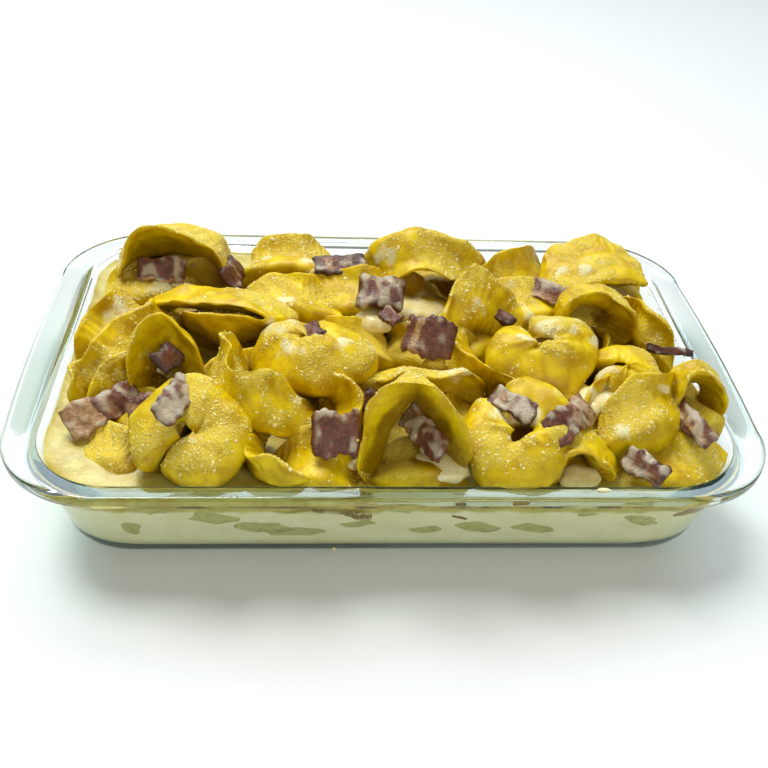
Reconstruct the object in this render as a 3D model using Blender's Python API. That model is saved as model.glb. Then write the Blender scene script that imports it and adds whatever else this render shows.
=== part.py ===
"""A glass baking dish of tortellini in cream with bacon, modelled piece by piece.

Metres, +Z up. The origin is the middle of the dish's underside, +X runs along the
dish, -Y is its front. Run with: blender --background --python part.py
"""
import math

import bmesh
import bpy
import numpy as np
from mathutils import Matrix, Vector, noise

MM = 0.001

# ---------------------------------------------------------------- the glass dish
DISH_HEIGHT = 41.0 * MM
INNER_LENGTH = 241.0 * MM       # inside, at the rim
INNER_WIDTH = 161.0 * MM
INNER_CORNER = 27.0 * MM
WALL = 4.4 * MM
BASE_THICK = 4.2 * MM
WALL_DRAFT = 9.0 * MM           # how far each wall comes in from the rim to the base
CORNER_DRAFT = 3.0 * MM         # how much tighter its corners are at the foot of the wall
BASE_FILLET = 11.0 * MM
INNER_FILLET = 9.0 * MM
RIM_ROUND = 0.9 * MM            # height of the rounding at the rim's inner edge
RIM_THICK = 4.6 * MM
RIM_REACH = 6.8 * MM            # rim beyond the inner edge on the long sides
HANDLE_REACH = 14.3 * MM        # the same at the ends, where the rim widens to a handle
LIP_HALF = 54.0 * MM            # half the length of each handle's lowered lip
LIP_WIDTH = 2.6 * MM
LIP_DROP = 0.8 * MM
INNER_EDGE = 0.8 * MM           # how wide the rim's inner edge is rounded
CORNER_STEPS = 4
SIDE_STEPS = 4                  # an even number, so that the handles' middles have a point

# ---------------------------------------------------------------- the sauce
SAUCE_LEVEL = 33.5 * MM
SAUCE_SWELL = 1.0 * MM          # how unevenly its top stands
SAUCE_FALL = 1.8 * MM           # how much lower it stands at the right end than in the middle
GAP = 0.3 * MM                  # left between pieces that touch
GAP_SHARES = (1.0, 0.4, 0.16)   # of the gap: smaller ones hold where a larger one fails in a crease
MERGE = 0.002 * MM              # points this close after a cut are one
FLAT_ANGLE = math.radians(0.1)  # faces this flat to each other after a cut are one
LEAN_ANGLE = math.radians(1.0)  # the same for a piece that is done

# ---------------------------------------------------------------- pasta
FLAP_HALF = 1.3                 # mm, half the thickness of a sealed flap
FOLD_STEPS = 9                  # along the fold of one piece
SECTION_STEPS = 7               # round its cross-section
CURL_STEPS = 8                  # in which a flap's curl is summed up
SMALL = 50.0                    # mm of fold: shorter pieces take fewer steps
ENDS_PASS = 3.0                 # mm, how far the two ends of a fold pass each other
EDGE_WAVES = 2.2                # half waves along a flap's edge
CURL_AT_EDGE = 1.6              # above 1, a flap curls mostly near its edge
UNEVEN = ((17.0, 2.6), (8.0, 0.8))  # mm, wavelength and depth of each unevenness
UNEVEN_SHIFT = 0.37             # how far apart pieces of different sizes lie in the noise
UNEVEN_SEED = 2                 # which way each piece of dough is uneven

# How a round of pasta is folded over its filling: length along the fold and width
# from fold to flap (mm), bend of the fold round its ring (degrees each way), the
# flap's lean at the fold and its curl outwards towards its edge (degrees), the
# belly's half thickness outside and inside (mm), and how pointed the outline is.
# Where a piece needs it: the width left at its ends (a share), how much the ring is
# pressed flat (squash), its edge's ripple, its middle drawn to a peak, and its top
# swayed sideways (mm).
FORMS = {
    "ring": dict(length=60, width=22, bend=160, lean=0, curl=20, belly=9, hollow=6, point=2.4),
    "funnel": dict(length=44, width=25, bend=130, lean=32, curl=-10, belly=6, hollow=4, point=2.0),
    "arch": dict(length=58, width=24, bend=80, lean=-5, curl=20, belly=10, hollow=6, point=2.2),
    "moon": dict(length=54, width=26, bend=55, lean=-12, curl=30, belly=9, hollow=6, point=2.2),
    "bun": dict(length=66, width=28, bend=174, lean=25, curl=-135, belly=7, hollow=6, point=3.0, ends=0.6),
    "pocket": dict(length=44, width=28, bend=28, lean=0, curl=10, belly=10, hollow=8, point=2.6),
    "leaf": dict(length=58, width=22, bend=30, lean=-20, curl=80, belly=7, hollow=6, point=2.0),
}

# Each piece: name, form, middle (mm, heights from the rim), heading, lean and spin (degrees),
# and its own sizes. From the top of the heap down: a piece is cut where an earlier one lies.
PASTA = [
    ("tortellino_08", "bun", (-27, -22, 10), (-6, 4, 0), dict(length=72, bend=179, squash=1.2, width=30, curl=-150, ends=0.85)),
    ("tortellino_14", "bun", (57, -22, 11), (-4, 22, 10), dict(length=64, squash=1.2, width=26)),
    ("tortellino_10", "arch", (18, 41, 13), (0, 98, 180), dict(length=64, bend=78, width=28)),
    ("tortellino_01", "moon", (-85, 44, 12), (-6, 62, 180), dict(length=54, bend=88, width=34, lean=22, curl=-20, belly=8)),
    ("tortellino_13", "pocket", (87, 38, 13), (4, -86, 0), dict(length=44, width=30, bend=25, belly=3, hollow=9, ripple=2.0)),
    ("tortellino_03", "moon", (-93, -7, 7), (58, -35, 0), dict(length=64, width=20, belly=6)),
    ("tortellino_06", "ring", (-63, 1, 12), (-12, 52, 90), dict(length=58, width=26, bend=168, squash=0.45, belly=7, hollow=5, curl=-15)),
    ("tortellino_11", "moon", (31, 6, 13), (24, -20, 185), dict(length=46, width=34, bend=50, point=1.15, sway=-11)),
    ("tortellino_26", "moon", (-50, -46, 11), (-48, 12, 0), dict(length=52, width=30, bend=75, lean=5, curl=-30, ripple=3.0, sway=-5)),
    ("tortellino_23", "funnel", (6, -63, 7), (0, 66, 180), dict(length=48, width=30, squash=0.8, point=1.5, belly=5, peak=7)),
    ("tortellino_22", "bun", (43, -62, 6), (0, 30, 12), dict(length=66, width=24, belly=8)),
    ("tortellino_27", "bun", (-68, -63, 6), (0, 24, 130), dict(length=70, bend=179, squash=1.1, width=27, curl=-145, ends=0.85)),
    ("tortellino_19", "moon", (91, -50, 6), (24, -32, 0), dict(length=50, width=30, bend=50, sway=6)),
    ("tortellino_34", "ring", (107, -42, 4), (10, 85, 170), dict(length=64, width=14, bend=110, squash=0.7, belly=4)),
    ("tortellino_18", "bun", (87, -29, 7), (10, 10, 60), dict(length=46, width=22, belly=6)),
    ("tortellino_15", "funnel", (84, 8, 8), (0, 80, 170), dict(length=36, width=20)),
    ("tortellino_16", "leaf", (104, 8, 4), (-50, -20, 0), dict(length=40, width=24)),
    ("tortellino_17", "ring", (46, -18, 4), (-20, 15, -10), dict(length=86, width=20, bend=100, belly=6)),
    ("tortellino_07", "pocket", (-38, 45, 8), (-4, -50, 0), dict(length=38, width=26, belly=11, hollow=10)),
    ("tortellino_12", "moon", (57, 42, 5), (30, -20, 0), dict(length=50, width=28)),
    ("tortellino_24", "leaf", (13, -31, 5), (4, 10, 0), dict(length=46, width=24)),
    ("tortellino_25", "ring", (-23, -44, 2), (0, 35, 30), dict(length=50, width=20, belly=7)),
    ("tortellino_29", "arch", (-43, -69, 2), (-55, 25, 0), dict(length=34, width=20, bend=70, belly=4, hollow=3)),
    ("tortellino_36", "moon", (-26, -68, -4), (-10, -36, 0), dict(length=42, width=28, point=1.5)),
    ("tortellino_20", "moon", (77, -38, 0), (60, -20, 0), dict(length=40, width=26)),
    ("tortellino_35", "ring", (64, -66, -2), (0, 80, 180), dict(length=40, width=16, bend=130, belly=5)),
    ("tortellino_30", "funnel", (-81, -23, 6), (6, 52, 180), dict(length=38, width=22, squash=0.85, point=1.5, belly=5, peak=5)),
    ("tortellino_04", "pocket", (-105, 8, -1), (70, -30, 0), dict(length=44, width=28)),
    ("tortellino_02", "pocket", (-95, 33, 2), (0, -50, 0), dict(length=38, width=24, belly=7)),
    ("tortellino_05", "pocket", (-109, -22, -2), (80, -20, 0), dict(length=24, width=18, belly=3, hollow=2)),
    ("tortellino_09", "pocket", (-37, 18, 6), (0, -50, 0), dict(length=42, width=28)),
    ("tortellino_32", "pocket", (-11, 25, 4), (10, -50, 0), dict(length=44, width=30)),
    ("tortellino_33", "moon", (60, 20, 3), (20, -50, 0), dict(length=46, width=30)),
    ("tortellino_31", "pocket", (-96, -24, -5), (60, -30, 0), dict(length=34, width=26)),
    ("tortellino_21", "pocket", (99, -64, -9), (-6, -50, 0), dict(length=44, width=26, belly=8)),
    ("tortellino_28", "pocket", (-96, -58, -9), (-20, -60, 0), dict(length=28, width=24, belly=6)),
]

# ---------------------------------------------------------------- bacon
# name, middle (mm, heights from the rim), heading, lean and roll (degrees),
# length, width and thickness (mm), bend (degrees)
BACON = [
    ("bacon_01", (-89, 34, 12), (0, 50, 0), (19, 10, 3), 20),
    ("bacon_02", (-60, 34, 11), (80, 55, 0), (17, 10, 3), 10),
    ("bacon_03", (-17, 37, 14), (10, 20, 0), (22, 9, 3), 0),
    ("bacon_04", (-1, 16, 14), (-10, 35, 0), (18, 13, 4), 10),
    ("bacon_05", (2, 2, 12), (-50, 20, 0), (9, 6, 3), 0),
    ("bacon_06", (15, -16, 15), (-20, 50, 0), (20, 15, 3), 35),
    ("bacon_07", (-28, -20, 20), (-60, 20, 0), (9, 7, 2), 0),
    ("bacon_08", (-100, -42, 1), (40, 35, 0), (30, 12, 3), 20),
    ("bacon_09", (-86, -41, 1), (20, 40, 0), (14, 9, 3), 0),
    ("bacon_10", (-79, -30, 14), (60, 40, 0), (12, 9, 3), 0),
    ("bacon_11", (-72, -60, 20), (70, 40, 0), (22, 9, 3), 15),
    ("bacon_12", (-63, -54, 18), (40, 30, 0), (8, 4, 2), 0),
    ("bacon_13", (-20, -66, 10), (0, 50, 0), (16, 15, 3), 10),
    ("bacon_14", (-8, -42, 6), (50, 40, 0), (11, 6, 3), 0),
    ("bacon_15", (9, -64, 9), (-65, 60, 0), (25, 9, 3), 10),
    ("bacon_16", (40, -56, 15), (-40, 25, 0), (18, 8, 3), 20),
    ("bacon_17", (60, -60, 12), (45, 35, 0), (23, 11, 3), 10),
    ("bacon_18", (67, 20, 13), (-35, 30, 0), (17, 9, 3), 20),
    ("bacon_19", (46, 6, 10), (-40, 20, 0), (12, 5, 3), 0),
    ("bacon_20", (110, -10, 6), (-10, 40, 0), (18, 3, 2), 0),
    ("bacon_21", (103, -56, 9), (-75, 50, 0), (25, 7, 2), 30),
    ("bacon_22", (85, -72, 1), (-50, 50, 0), (16, 8, 4), 0),
]


# ================================================================ shapes
def tortellino_points(form, fold_steps, section_steps):
    """Closed rings of points (mm), one for each step along the fold."""
    u = np.linspace(-1.0, 1.0, fold_steps + 1)[:, None]
    turn = 2.0 * math.pi * (np.arange(section_steps) + 0.5) / section_steps
    rise = (0.5 - 0.5 * np.cos(turn))[None, :]
    side = (np.sign(np.sin(turn)) * np.abs(np.sin(turn)) ** 0.6)[None, :]
    bend = math.radians(form["bend"])
    radius = form["length"] / 2.0 / bend + ENDS_PASS * u
    outline = (1.0 - np.abs(u) ** form["point"]) ** (1.0 / form["point"])
    ends = form.get("ends", 0.22)
    width = form["width"] * (ends + (1.0 - ends) * outline)
    puff = np.exp(-((rise - 0.36) / 0.28) ** 2) * outline ** 0.7
    outside = FLAP_HALF + (form["belly"] - FLAP_HALF) * puff
    inside = FLAP_HALF + (form["hollow"] - FLAP_HALF) * puff
    offset = np.where(side > 0.0, side * outside, side * inside)
    waves = np.sin(EDGE_WAVES * math.pi * u)
    offset = offset + form.get("ripple", 1.5) * rise ** 2 * waves
    lean = np.full_like(u, math.radians(form["lean"]))
    curl = math.radians(form["curl"])
    out = np.zeros_like(u * rise)
    up = np.zeros_like(u * rise)
    for step in range(CURL_STEPS):
        here = lean + curl * (rise * (step + 0.5) / CURL_STEPS) ** CURL_AT_EDGE
        out += np.sin(here) / CURL_STEPS
        up += np.cos(here) / CURL_STEPS
    tilt = lean + curl * rise ** CURL_AT_EDGE
    reach = width * rise * out + offset * np.cos(tilt)
    height = width * rise * up - offset * np.sin(tilt)
    squash = form.get("squash", 1.0)
    x = (radius * squash + reach) * np.sin(bend * u) + form.get("sway", 0.0) * rise
    y = -(radius / squash + reach) * np.cos(bend * u)
    y = y - form.get("peak", 0.0) * np.clip(1.0 - np.abs(u) / 0.5, 0.0, 1.0) ** 1.5
    points = np.stack([x, y, height], axis=-1)
    for wave, depth in UNEVEN:
        shift = Vector((form["length"], form["width"], form["bend"])) * UNEVEN_SHIFT
        for index in np.ndindex(points.shape[:2]):
            points[index] += depth * np.array(noise.noise_vector(Vector(points[index]) / wave + shift))
    flat = points.reshape(-1, 3)
    return points - (flat.min(axis=0) + flat.max(axis=0)) / 2.0


def pose(middle, angles):
    """Where a piece stands: heading about Z, then lean about X, then spin about Z."""
    heading, lean, spin = (math.radians(angle) for angle in angles)
    place = Matrix.Translation(Vector(middle) * MM + Vector((0.0, 0.0, DISH_HEIGHT)))
    turn = Matrix.Rotation(heading, 4, "Z") @ Matrix.Rotation(lean, 4, "X")
    return place @ turn @ Matrix.Rotation(spin, 4, "Z")


def closed_tube(bm, rings):
    """Quads between rings of points, and a fan over each end."""
    rows = [[bm.verts.new(point) for point in ring] for ring in rings]
    count = len(rows[0])
    for near, far in zip(rows, rows[1:]):
        for k in range(count):
            bm.faces.new((near[k], near[(k + 1) % count], far[(k + 1) % count], far[k]))
    for row in (rows[0], rows[-1]):
        middle = sum((vert.co for vert in row), Vector()) / count
        tip = bm.verts.new(middle)
        for k in range(count):
            bm.faces.new((row[k], row[(k + 1) % count], tip))
    bmesh.ops.recalc_face_normals(bm, faces=bm.faces)


def add_object(name, bm, material):
    mesh = bpy.data.meshes.new(name)
    bmesh.ops.triangulate(bm, faces=bm.faces)
    bm.to_mesh(mesh)
    bm.free()
    mesh.materials.append(material)
    obj = bpy.data.objects.new(name, mesh)
    bpy.context.collection.objects.link(obj)
    return obj


def make_tortellino(name, form_name, middle, angles, changes, material):
    form = {**FORMS[form_name], **changes}
    small = form["length"] < SMALL
    rings = tortellino_points(form, FOLD_STEPS - 2 * small, SECTION_STEPS - small)
    bm = bmesh.new()
    closed_tube(bm, [[Vector(point) * MM for point in ring] for ring in rings])
    obj = add_object(name, bm, material)
    obj.matrix_world = pose(middle, angles)
    return obj


def make_bacon(name, middle, angles, size, bend, material):
    """A cut slice: a slab with uneven edges, bent along its length."""
    length, width, thick = size
    steps = 4
    rings = []
    for k in range(steps + 1):
        along = k / steps - 0.5
        turn = math.radians(bend) * along * 2.0
        wide = width / 2.0 * (1.0 + 0.10 * math.sin(9.0 * along + length))
        radius = length / max(math.radians(bend) * 2.0, 0.05)
        x = radius * math.sin(turn) if bend else length * along
        z = radius * (math.cos(turn) - 1.0) if bend else 0.0
        ring = []
        for y, h in ((-1, -1), (1, -1), (1, 1), (-1, 1)):
            lift = h * thick / 2.0 + 0.4 * math.sin(3.0 * y + 5.0 * along)
            ring.append(Vector((x + lift * math.sin(turn), y * wide, z + lift * math.cos(turn))) * MM)
        rings.append(ring)
    bm = bmesh.new()
    closed_tube(bm, rings)
    obj = add_object(name, bm, material)
    obj.matrix_world = pose(middle, angles)
    return obj


def rounded_rectangle(half_x, half_y, corner, bow=0.0):
    """Points of an outline, anticlockwise from the right end's front corner."""
    points = []
    for quarter in range(4):
        sign_x = (1, -1, -1, 1)[quarter]
        sign_y = (1, 1, -1, -1)[quarter]
        for k in range(CORNER_STEPS + 1):
            angle = math.pi / 2.0 * (quarter + k / CORNER_STEPS)
            x = sign_x * (half_x - corner) + corner * math.cos(angle)
            y = sign_y * (half_y - corner) + corner * math.sin(angle)
            points.append((x, y))
        start = points[-1]
        end_x = (-sign_x if quarter % 2 == 0 else sign_x) * (half_x - (corner if quarter % 2 == 0 else 0.0))
        end_y = sign_y * half_y if quarter % 2 == 0 else -sign_y * (half_y - corner)
        for k in range(1, SIDE_STEPS):
            t = k / SIDE_STEPS
            points.append((start[0] + (end_x - start[0]) * t, start[1] + (end_y - start[1]) * t))
    return [(x + math.copysign(bow, x) * max(0.0, 1.0 - (y / half_y) ** 2), y) for x, y in points]


def inner_fillet(angle):
    """Height, inset and corner radius where the floor has turned up by an angle."""
    rad = math.radians(angle)
    height = BASE_THICK + INNER_FILLET * (1.0 - math.cos(rad))
    inset = WALL_DRAFT + INNER_FILLET * (1.0 - math.sin(rad))
    return height, inset, INNER_CORNER - CORNER_DRAFT - 5.0 * MM * (1.0 - math.sin(rad))


def dish_rings():
    """Outline rings from the middle of the underside, over the rim, to the inside's floor."""
    inner_x, inner_y = INNER_LENGTH / 2.0, INNER_WIDTH / 2.0
    rings = []

    def ring(height, inset, corner, reach_x=0.0, reach_y=0.0, bow=0.0):
        outline = rounded_rectangle(inner_x - inset + reach_x, inner_y - inset + reach_y, corner, bow)
        rings.append([Vector((x, y, height)) for x, y in outline])

    top = DISH_HEIGHT
    fillet = BASE_FILLET
    base_in = WALL_DRAFT + fillet
    outer = WALL
    # underside and outer wall, up to the rim
    ring(0.0, base_in - outer + 0.5 * MM, INNER_CORNER - 9.0 * MM)
    for angle in (30.0, 60.0, 90.0):
        rad = math.radians(angle)
        inset = WALL_DRAFT - outer + fillet * (1.0 - math.sin(rad))
        ring(fillet * (1.0 - math.cos(rad)), inset, INNER_CORNER - 6.0 * MM + 3.0 * MM * math.sin(rad))
    rim_under = top - RIM_THICK
    draft = WALL_DRAFT * RIM_THICK / top
    ring(rim_under, draft - outer, INNER_CORNER + outer)
    # the rim, drawn out to a handle at each end
    corner = INNER_CORNER + RIM_REACH
    bow = HANDLE_REACH * 0.28
    reach = HANDLE_REACH - bow
    ring(rim_under + 0.3 * MM, 0.0, corner, reach - 1.0 * MM, RIM_REACH - 1.0 * MM, bow)
    ring(rim_under + 1.4 * MM, 0.0, corner, reach, RIM_REACH, bow)
    ring(top - 1.2 * MM, 0.0, corner, reach, RIM_REACH, bow)
    ring(top - 0.2 * MM, 0.0, corner, reach - 1.0 * MM, RIM_REACH - 0.9 * MM, bow)
    ring(top, 0.0, corner - 1.0 * MM, reach - LIP_WIDTH, RIM_REACH - 2.0 * MM, bow)
    for point in rings[-2] + rings[-3]:
        if abs(point.y) < LIP_HALF and abs(point.x) > inner_x:
            point.z -= LIP_DROP
    ring(top, 0.0, INNER_CORNER + INNER_EDGE, INNER_EDGE, INNER_EDGE)
    ring(top - RIM_ROUND, 0.0, INNER_CORNER)
    # inner wall and floor
    for angle in (90.0, 60.0, 30.0, 0.0):
        height, inset, corner = inner_fillet(angle)
        ring(height, inset, corner)
    return rings


def make_dish(material):
    bm = bmesh.new()
    closed_tube(bm, dish_rings())
    return add_object("glass_dish", bm, material)


def sauce_height(x, y):
    swell = math.sin(x / 0.031 + 0.6) * math.cos(y / 0.026 - 0.4) + 0.5 * math.sin(x / 0.017 - y / 0.021)
    return SAUCE_LEVEL + SAUCE_SWELL * swell / 1.5 - SAUCE_FALL * x / (INNER_LENGTH / 2.0)


def inner_outline(height, clear):
    """The dish's inside at a height on its straight wall, a little clear of the glass."""
    top = DISH_HEIGHT - RIM_ROUND
    bottom = BASE_THICK + INNER_FILLET
    share = (top - height) / (top - bottom)
    inset = WALL_DRAFT * share + clear
    return rounded_rectangle(INNER_LENGTH / 2.0 - inset, INNER_WIDTH / 2.0 - inset, INNER_CORNER - CORNER_DRAFT * share)


def make_sauce(material):
    """The cream: the dish's inside up to its uneven top."""
    bm = bmesh.new()
    clear = GAP * 1.6
    rings = []
    for angle in (0.0, 30.0, 60.0, 90.0):
        height, inset, corner = inner_fillet(angle)
        outline = rounded_rectangle(INNER_LENGTH / 2.0 - inset - clear, INNER_WIDTH / 2.0 - inset - clear, corner)
        rings.append([Vector((x, y, height + GAP)) for x, y in outline])
    rim = inner_outline(SAUCE_LEVEL - SAUCE_SWELL - SAUCE_FALL, clear)
    for share in (1.0, 0.72, 0.42):
        rings.append([Vector((x * share, y * share, sauce_height(x * share, y * share))) for x, y in rim])
    closed_tube(bm, rings)
    return add_object("cream_sauce", bm, material)


# ================================================================ cutting pieces clear of each other
def grown_copy(obj, distance):
    """A copy with every point moved out along its normal, in world space."""
    bm = bmesh.new()
    bm.from_mesh(obj.data)
    bm.transform(obj.matrix_world)
    bm.normal_update()
    moves = [vert.normal * distance * vert.calc_shell_factor() for vert in bm.verts]
    for vert, move in zip(bm.verts, moves):
        vert.co += move
    mesh = bpy.data.meshes.new("grown")
    bm.to_mesh(mesh)
    bm.free()
    copy = bpy.data.objects.new("grown", mesh)
    bpy.context.collection.objects.link(copy)
    return copy


def world_box(obj):
    corners = np.array([obj.matrix_world @ vert.co for vert in obj.data.vertices])
    return corners.min(axis=0), corners.max(axis=0)


def boxes_meet(first, second):
    return bool(np.all(first[0] <= second[1]) and np.all(second[0] <= first[1]))


def bodies_of(bm):
    """Each connected body's faces with its volume, the largest first."""
    unseen = set(bm.faces)
    bodies = []
    for face in bm.faces:
        if face not in unseen:
            continue
        unseen.remove(face)
        body = [face]
        for member in body:
            for edge in member.edges:
                for other in edge.link_faces:
                    if other in unseen:
                        unseen.remove(other)
                        body.append(other)
        corners = [[vert.co for vert in member.verts] for member in body]
        bodies.append((sum(a.dot(b.cross(c)) for a, b, c in corners), body))
    return sorted(bodies, key=lambda item: item[0], reverse=True)


def is_closed(bm):
    return len(bm.faces) > 0 and all(len(edge.link_faces) == 2 for edge in bm.edges)


def tidy_cut(mesh, flat_angle=FLAT_ANGLE):
    """Keep the largest body of a cut piece, with flat neighbours joined. None if it isn't closed."""
    bm = bmesh.new()
    bm.from_mesh(mesh)
    bmesh.ops.triangulate(bm, faces=bm.faces)
    if not is_closed(bm):
        bm.free()
        return None
    for _, body in bodies_of(bm)[1:]:
        bmesh.ops.delete(bm, geom=body, context="FACES")
    loose = [vert for vert in bm.verts if not vert.link_faces]
    bmesh.ops.delete(bm, geom=loose, context="VERTS")
    lean = bm.copy()
    bmesh.ops.remove_doubles(lean, verts=lean.verts, dist=MERGE)
    bmesh.ops.dissolve_limit(lean, angle_limit=flat_angle, verts=lean.verts, edges=lean.edges)
    bmesh.ops.triangulate(lean, faces=lean.faces)
    best = lean if is_closed(lean) else bm
    best.to_mesh(mesh)
    lean.free()
    bm.free()
    return mesh


def apply_boolean(obj, cutter, operation):
    """EXACT, or MANIFOLD where that leaves a mesh open."""
    for solver in ("EXACT", "MANIFOLD"):
        modifier = obj.modifiers.new("cut", "BOOLEAN")
        modifier.operation = operation
        modifier.solver = solver
        modifier.object = cutter
        modifier.use_self = True
        graph = bpy.context.evaluated_depsgraph_get()
        mesh = tidy_cut(bpy.data.meshes.new_from_object(obj.evaluated_get(graph)))
        obj.modifiers.remove(modifier)
        if mesh:
            obj.data = mesh
            mesh.name = obj.name
            return


def remove(obj):
    bpy.data.objects.remove(obj, do_unlink=True)


def cut_by(piece, cutters):
    for cutter, box in cutters:
        if boxes_meet(world_box(piece), box):
            apply_boolean(piece, cutter, "DIFFERENCE")


def clear_of(pieces, sauce):
    """Cut each piece by those before it, and the sauce by all of them.

    A piece is cut by a copy of its neighbour grown by the gap, and by ones grown less,
    which also hold where the first one folds into itself in a crease.
    """
    cutters = {share: [] for share in GAP_SHARES}
    for piece in pieces:
        for share in GAP_SHARES:
            cut_by(piece, cutters[share])
            if share == GAP_SHARES[0]:
                tidy_cut(piece.data, LEAN_ANGLE)
        for share in GAP_SHARES:
            grown = grown_copy(piece, GAP * share)
            cutters[share].append((grown, world_box(grown)))
        bpy.context.view_layer.update()
    for share in GAP_SHARES:
        cut_by(sauce, cutters[share])
        for cutter, _ in cutters[share]:
            remove(cutter)


def make_cavity():
    """The room inside the dish, carried straight up above its rim."""
    rings = []
    for height in (BASE_THICK + 6.0 * MM, DISH_HEIGHT, DISH_HEIGHT * 2.5):
        outline = inner_outline(height, GAP * 1.5)
        rings.append([Vector((x, y, height)) for x, y in outline])
    bm = bmesh.new()
    closed_tube(bm, rings)
    return add_object("cavity", bm, make_material("cavity", (1, 1, 1), 0.5))


# ================================================================ the whole
def make_material(name, colour, roughness, transmission=0.0):
    material = bpy.data.materials.new(name)
    material.use_nodes = True
    shader = material.node_tree.nodes["Principled BSDF"]
    shader.inputs["Base Color"].default_value = (*colour, 1.0)
    shader.inputs["Roughness"].default_value = roughness
    shader.inputs["Metallic"].default_value = 0.0
    shader.inputs["Transmission Weight"].default_value = transmission
    return material


def build(cut=True):
    noise.seed_set(UNEVEN_SEED)
    for obj in list(bpy.data.objects):
        bpy.data.objects.remove(obj, do_unlink=True)
    glass = make_material("glass", (0.90, 0.97, 0.95), 0.02, 1.0)
    cream = make_material("cream", (0.86, 0.83, 0.62), 0.35)
    pasta = make_material("pasta", (0.78, 0.56, 0.05), 0.4)
    bacon = make_material("bacon", (0.30, 0.10, 0.09), 0.45)
    make_dish(glass)
    sauce = make_sauce(cream)
    slices = [make_bacon(*row, bacon) for row in BACON]
    folded = [make_tortellino(*row, pasta) for row in PASTA]
    bpy.context.view_layer.update()
    if cut:
        cavity = make_cavity()
        bpy.context.view_layer.update()
        for piece in slices + folded:
            apply_boolean(piece, cavity, "INTERSECT")
        remove(cavity)
        clear_of(slices + folded, sauce)


def main():
    build()


if __name__ == "__main__":
    main()
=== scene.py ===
"""Tortellini in cream with bacon in a glass dish: the looks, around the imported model.

Metres, +Z up, the origin in the middle of the dish's underside. The tables of pasta,
bacon and cream are in millimetres from the middle of the rim's plane, as a cook would
lay them: x along the dish, y from its front to its back, z up from the rim.
"""
import math

import bpy
import numpy as np
from mathutils import Matrix, Vector, noise


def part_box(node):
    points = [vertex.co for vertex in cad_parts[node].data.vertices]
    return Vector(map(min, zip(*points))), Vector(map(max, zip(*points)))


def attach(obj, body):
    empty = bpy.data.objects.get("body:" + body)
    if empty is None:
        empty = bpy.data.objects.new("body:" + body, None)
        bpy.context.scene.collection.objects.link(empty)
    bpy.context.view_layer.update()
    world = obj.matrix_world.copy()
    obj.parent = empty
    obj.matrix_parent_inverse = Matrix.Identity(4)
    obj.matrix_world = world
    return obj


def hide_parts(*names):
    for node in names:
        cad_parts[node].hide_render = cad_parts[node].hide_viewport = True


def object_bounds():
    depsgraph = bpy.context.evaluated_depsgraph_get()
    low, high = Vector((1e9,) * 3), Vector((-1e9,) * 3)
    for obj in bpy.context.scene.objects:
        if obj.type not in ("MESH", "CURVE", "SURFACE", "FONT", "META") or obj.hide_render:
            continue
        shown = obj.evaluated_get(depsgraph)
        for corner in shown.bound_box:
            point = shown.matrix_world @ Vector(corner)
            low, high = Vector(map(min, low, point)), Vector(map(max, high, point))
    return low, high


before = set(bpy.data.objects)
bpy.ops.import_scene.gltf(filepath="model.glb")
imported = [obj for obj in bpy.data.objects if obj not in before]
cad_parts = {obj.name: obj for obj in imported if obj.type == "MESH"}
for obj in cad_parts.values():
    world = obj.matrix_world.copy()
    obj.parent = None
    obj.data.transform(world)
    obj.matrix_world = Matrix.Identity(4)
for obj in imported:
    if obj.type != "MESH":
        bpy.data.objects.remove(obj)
cad_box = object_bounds()

MM = 0.001

# ---------------------------------------------------------------- the glass dish
DISH_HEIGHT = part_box("glass_dish")[1].z
INNER_LENGTH = 241.0 * MM       # inside, at the rim
INNER_WIDTH = 161.0 * MM
INNER_CORNER = 27.0 * MM
WALL = 4.4 * MM
BASE_THICK = 4.2 * MM
WALL_DRAFT = 9.0 * MM           # how far each wall comes in from the rim to the base
CORNER_DRAFT = 3.0 * MM
BASE_FILLET = 11.0 * MM
INNER_FILLET = 9.0 * MM
RIM_ROUND = 0.9 * MM
RIM_THICK = 4.6 * MM
RIM_REACH = 6.8 * MM
HANDLE_REACH = 14.3 * MM
HANDLE_BOW = 0.28               # the share of it that the end bows out by
UNDERSIDE_IN = 0.5 * MM         # how far the flat underside stays inside its fillet
FOOT_TIGHTER = 6.0 * MM         # how much tighter the corners are at the foot
FLOOR_TIGHTER = 5.0 * MM        # and where the inside's floor is flat
LIP_HALF = 54.0 * MM            # half the length of each handle's lowered lip
LIP_WIDTH = 2.6 * MM
LIP_DROP = 0.8 * MM
RIM_EDGE = 1.3 * MM             # rounding of the rim's outer edges
INNER_EDGE = 0.8 * MM           # how wide its inner edge is rounded
CORNER_STEPS = 20
SIDE_STEPS = 36
INTO_GLASS = 0.15 * MM          # how far the cream reaches into the wall, so that no air shows

# ---------------------------------------------------------------- the cream
SAUCE_LEVEL = 33.5 * MM
SAUCE_SWELL = 1.0 * MM
SAUCE_FALL = 1.8 * MM           # how much lower it stands at the right end than in the middle
CREAM_EDGE_RISE = 1.2 * MM      # how far it climbs the glass
CREAM_EDGE_WAVE = 9.0 * MM
CREAM_EDGE_SHARES = (0.9968, 0.992, 0.984, 0.972)   # where its surface is finer, beside the glass

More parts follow.
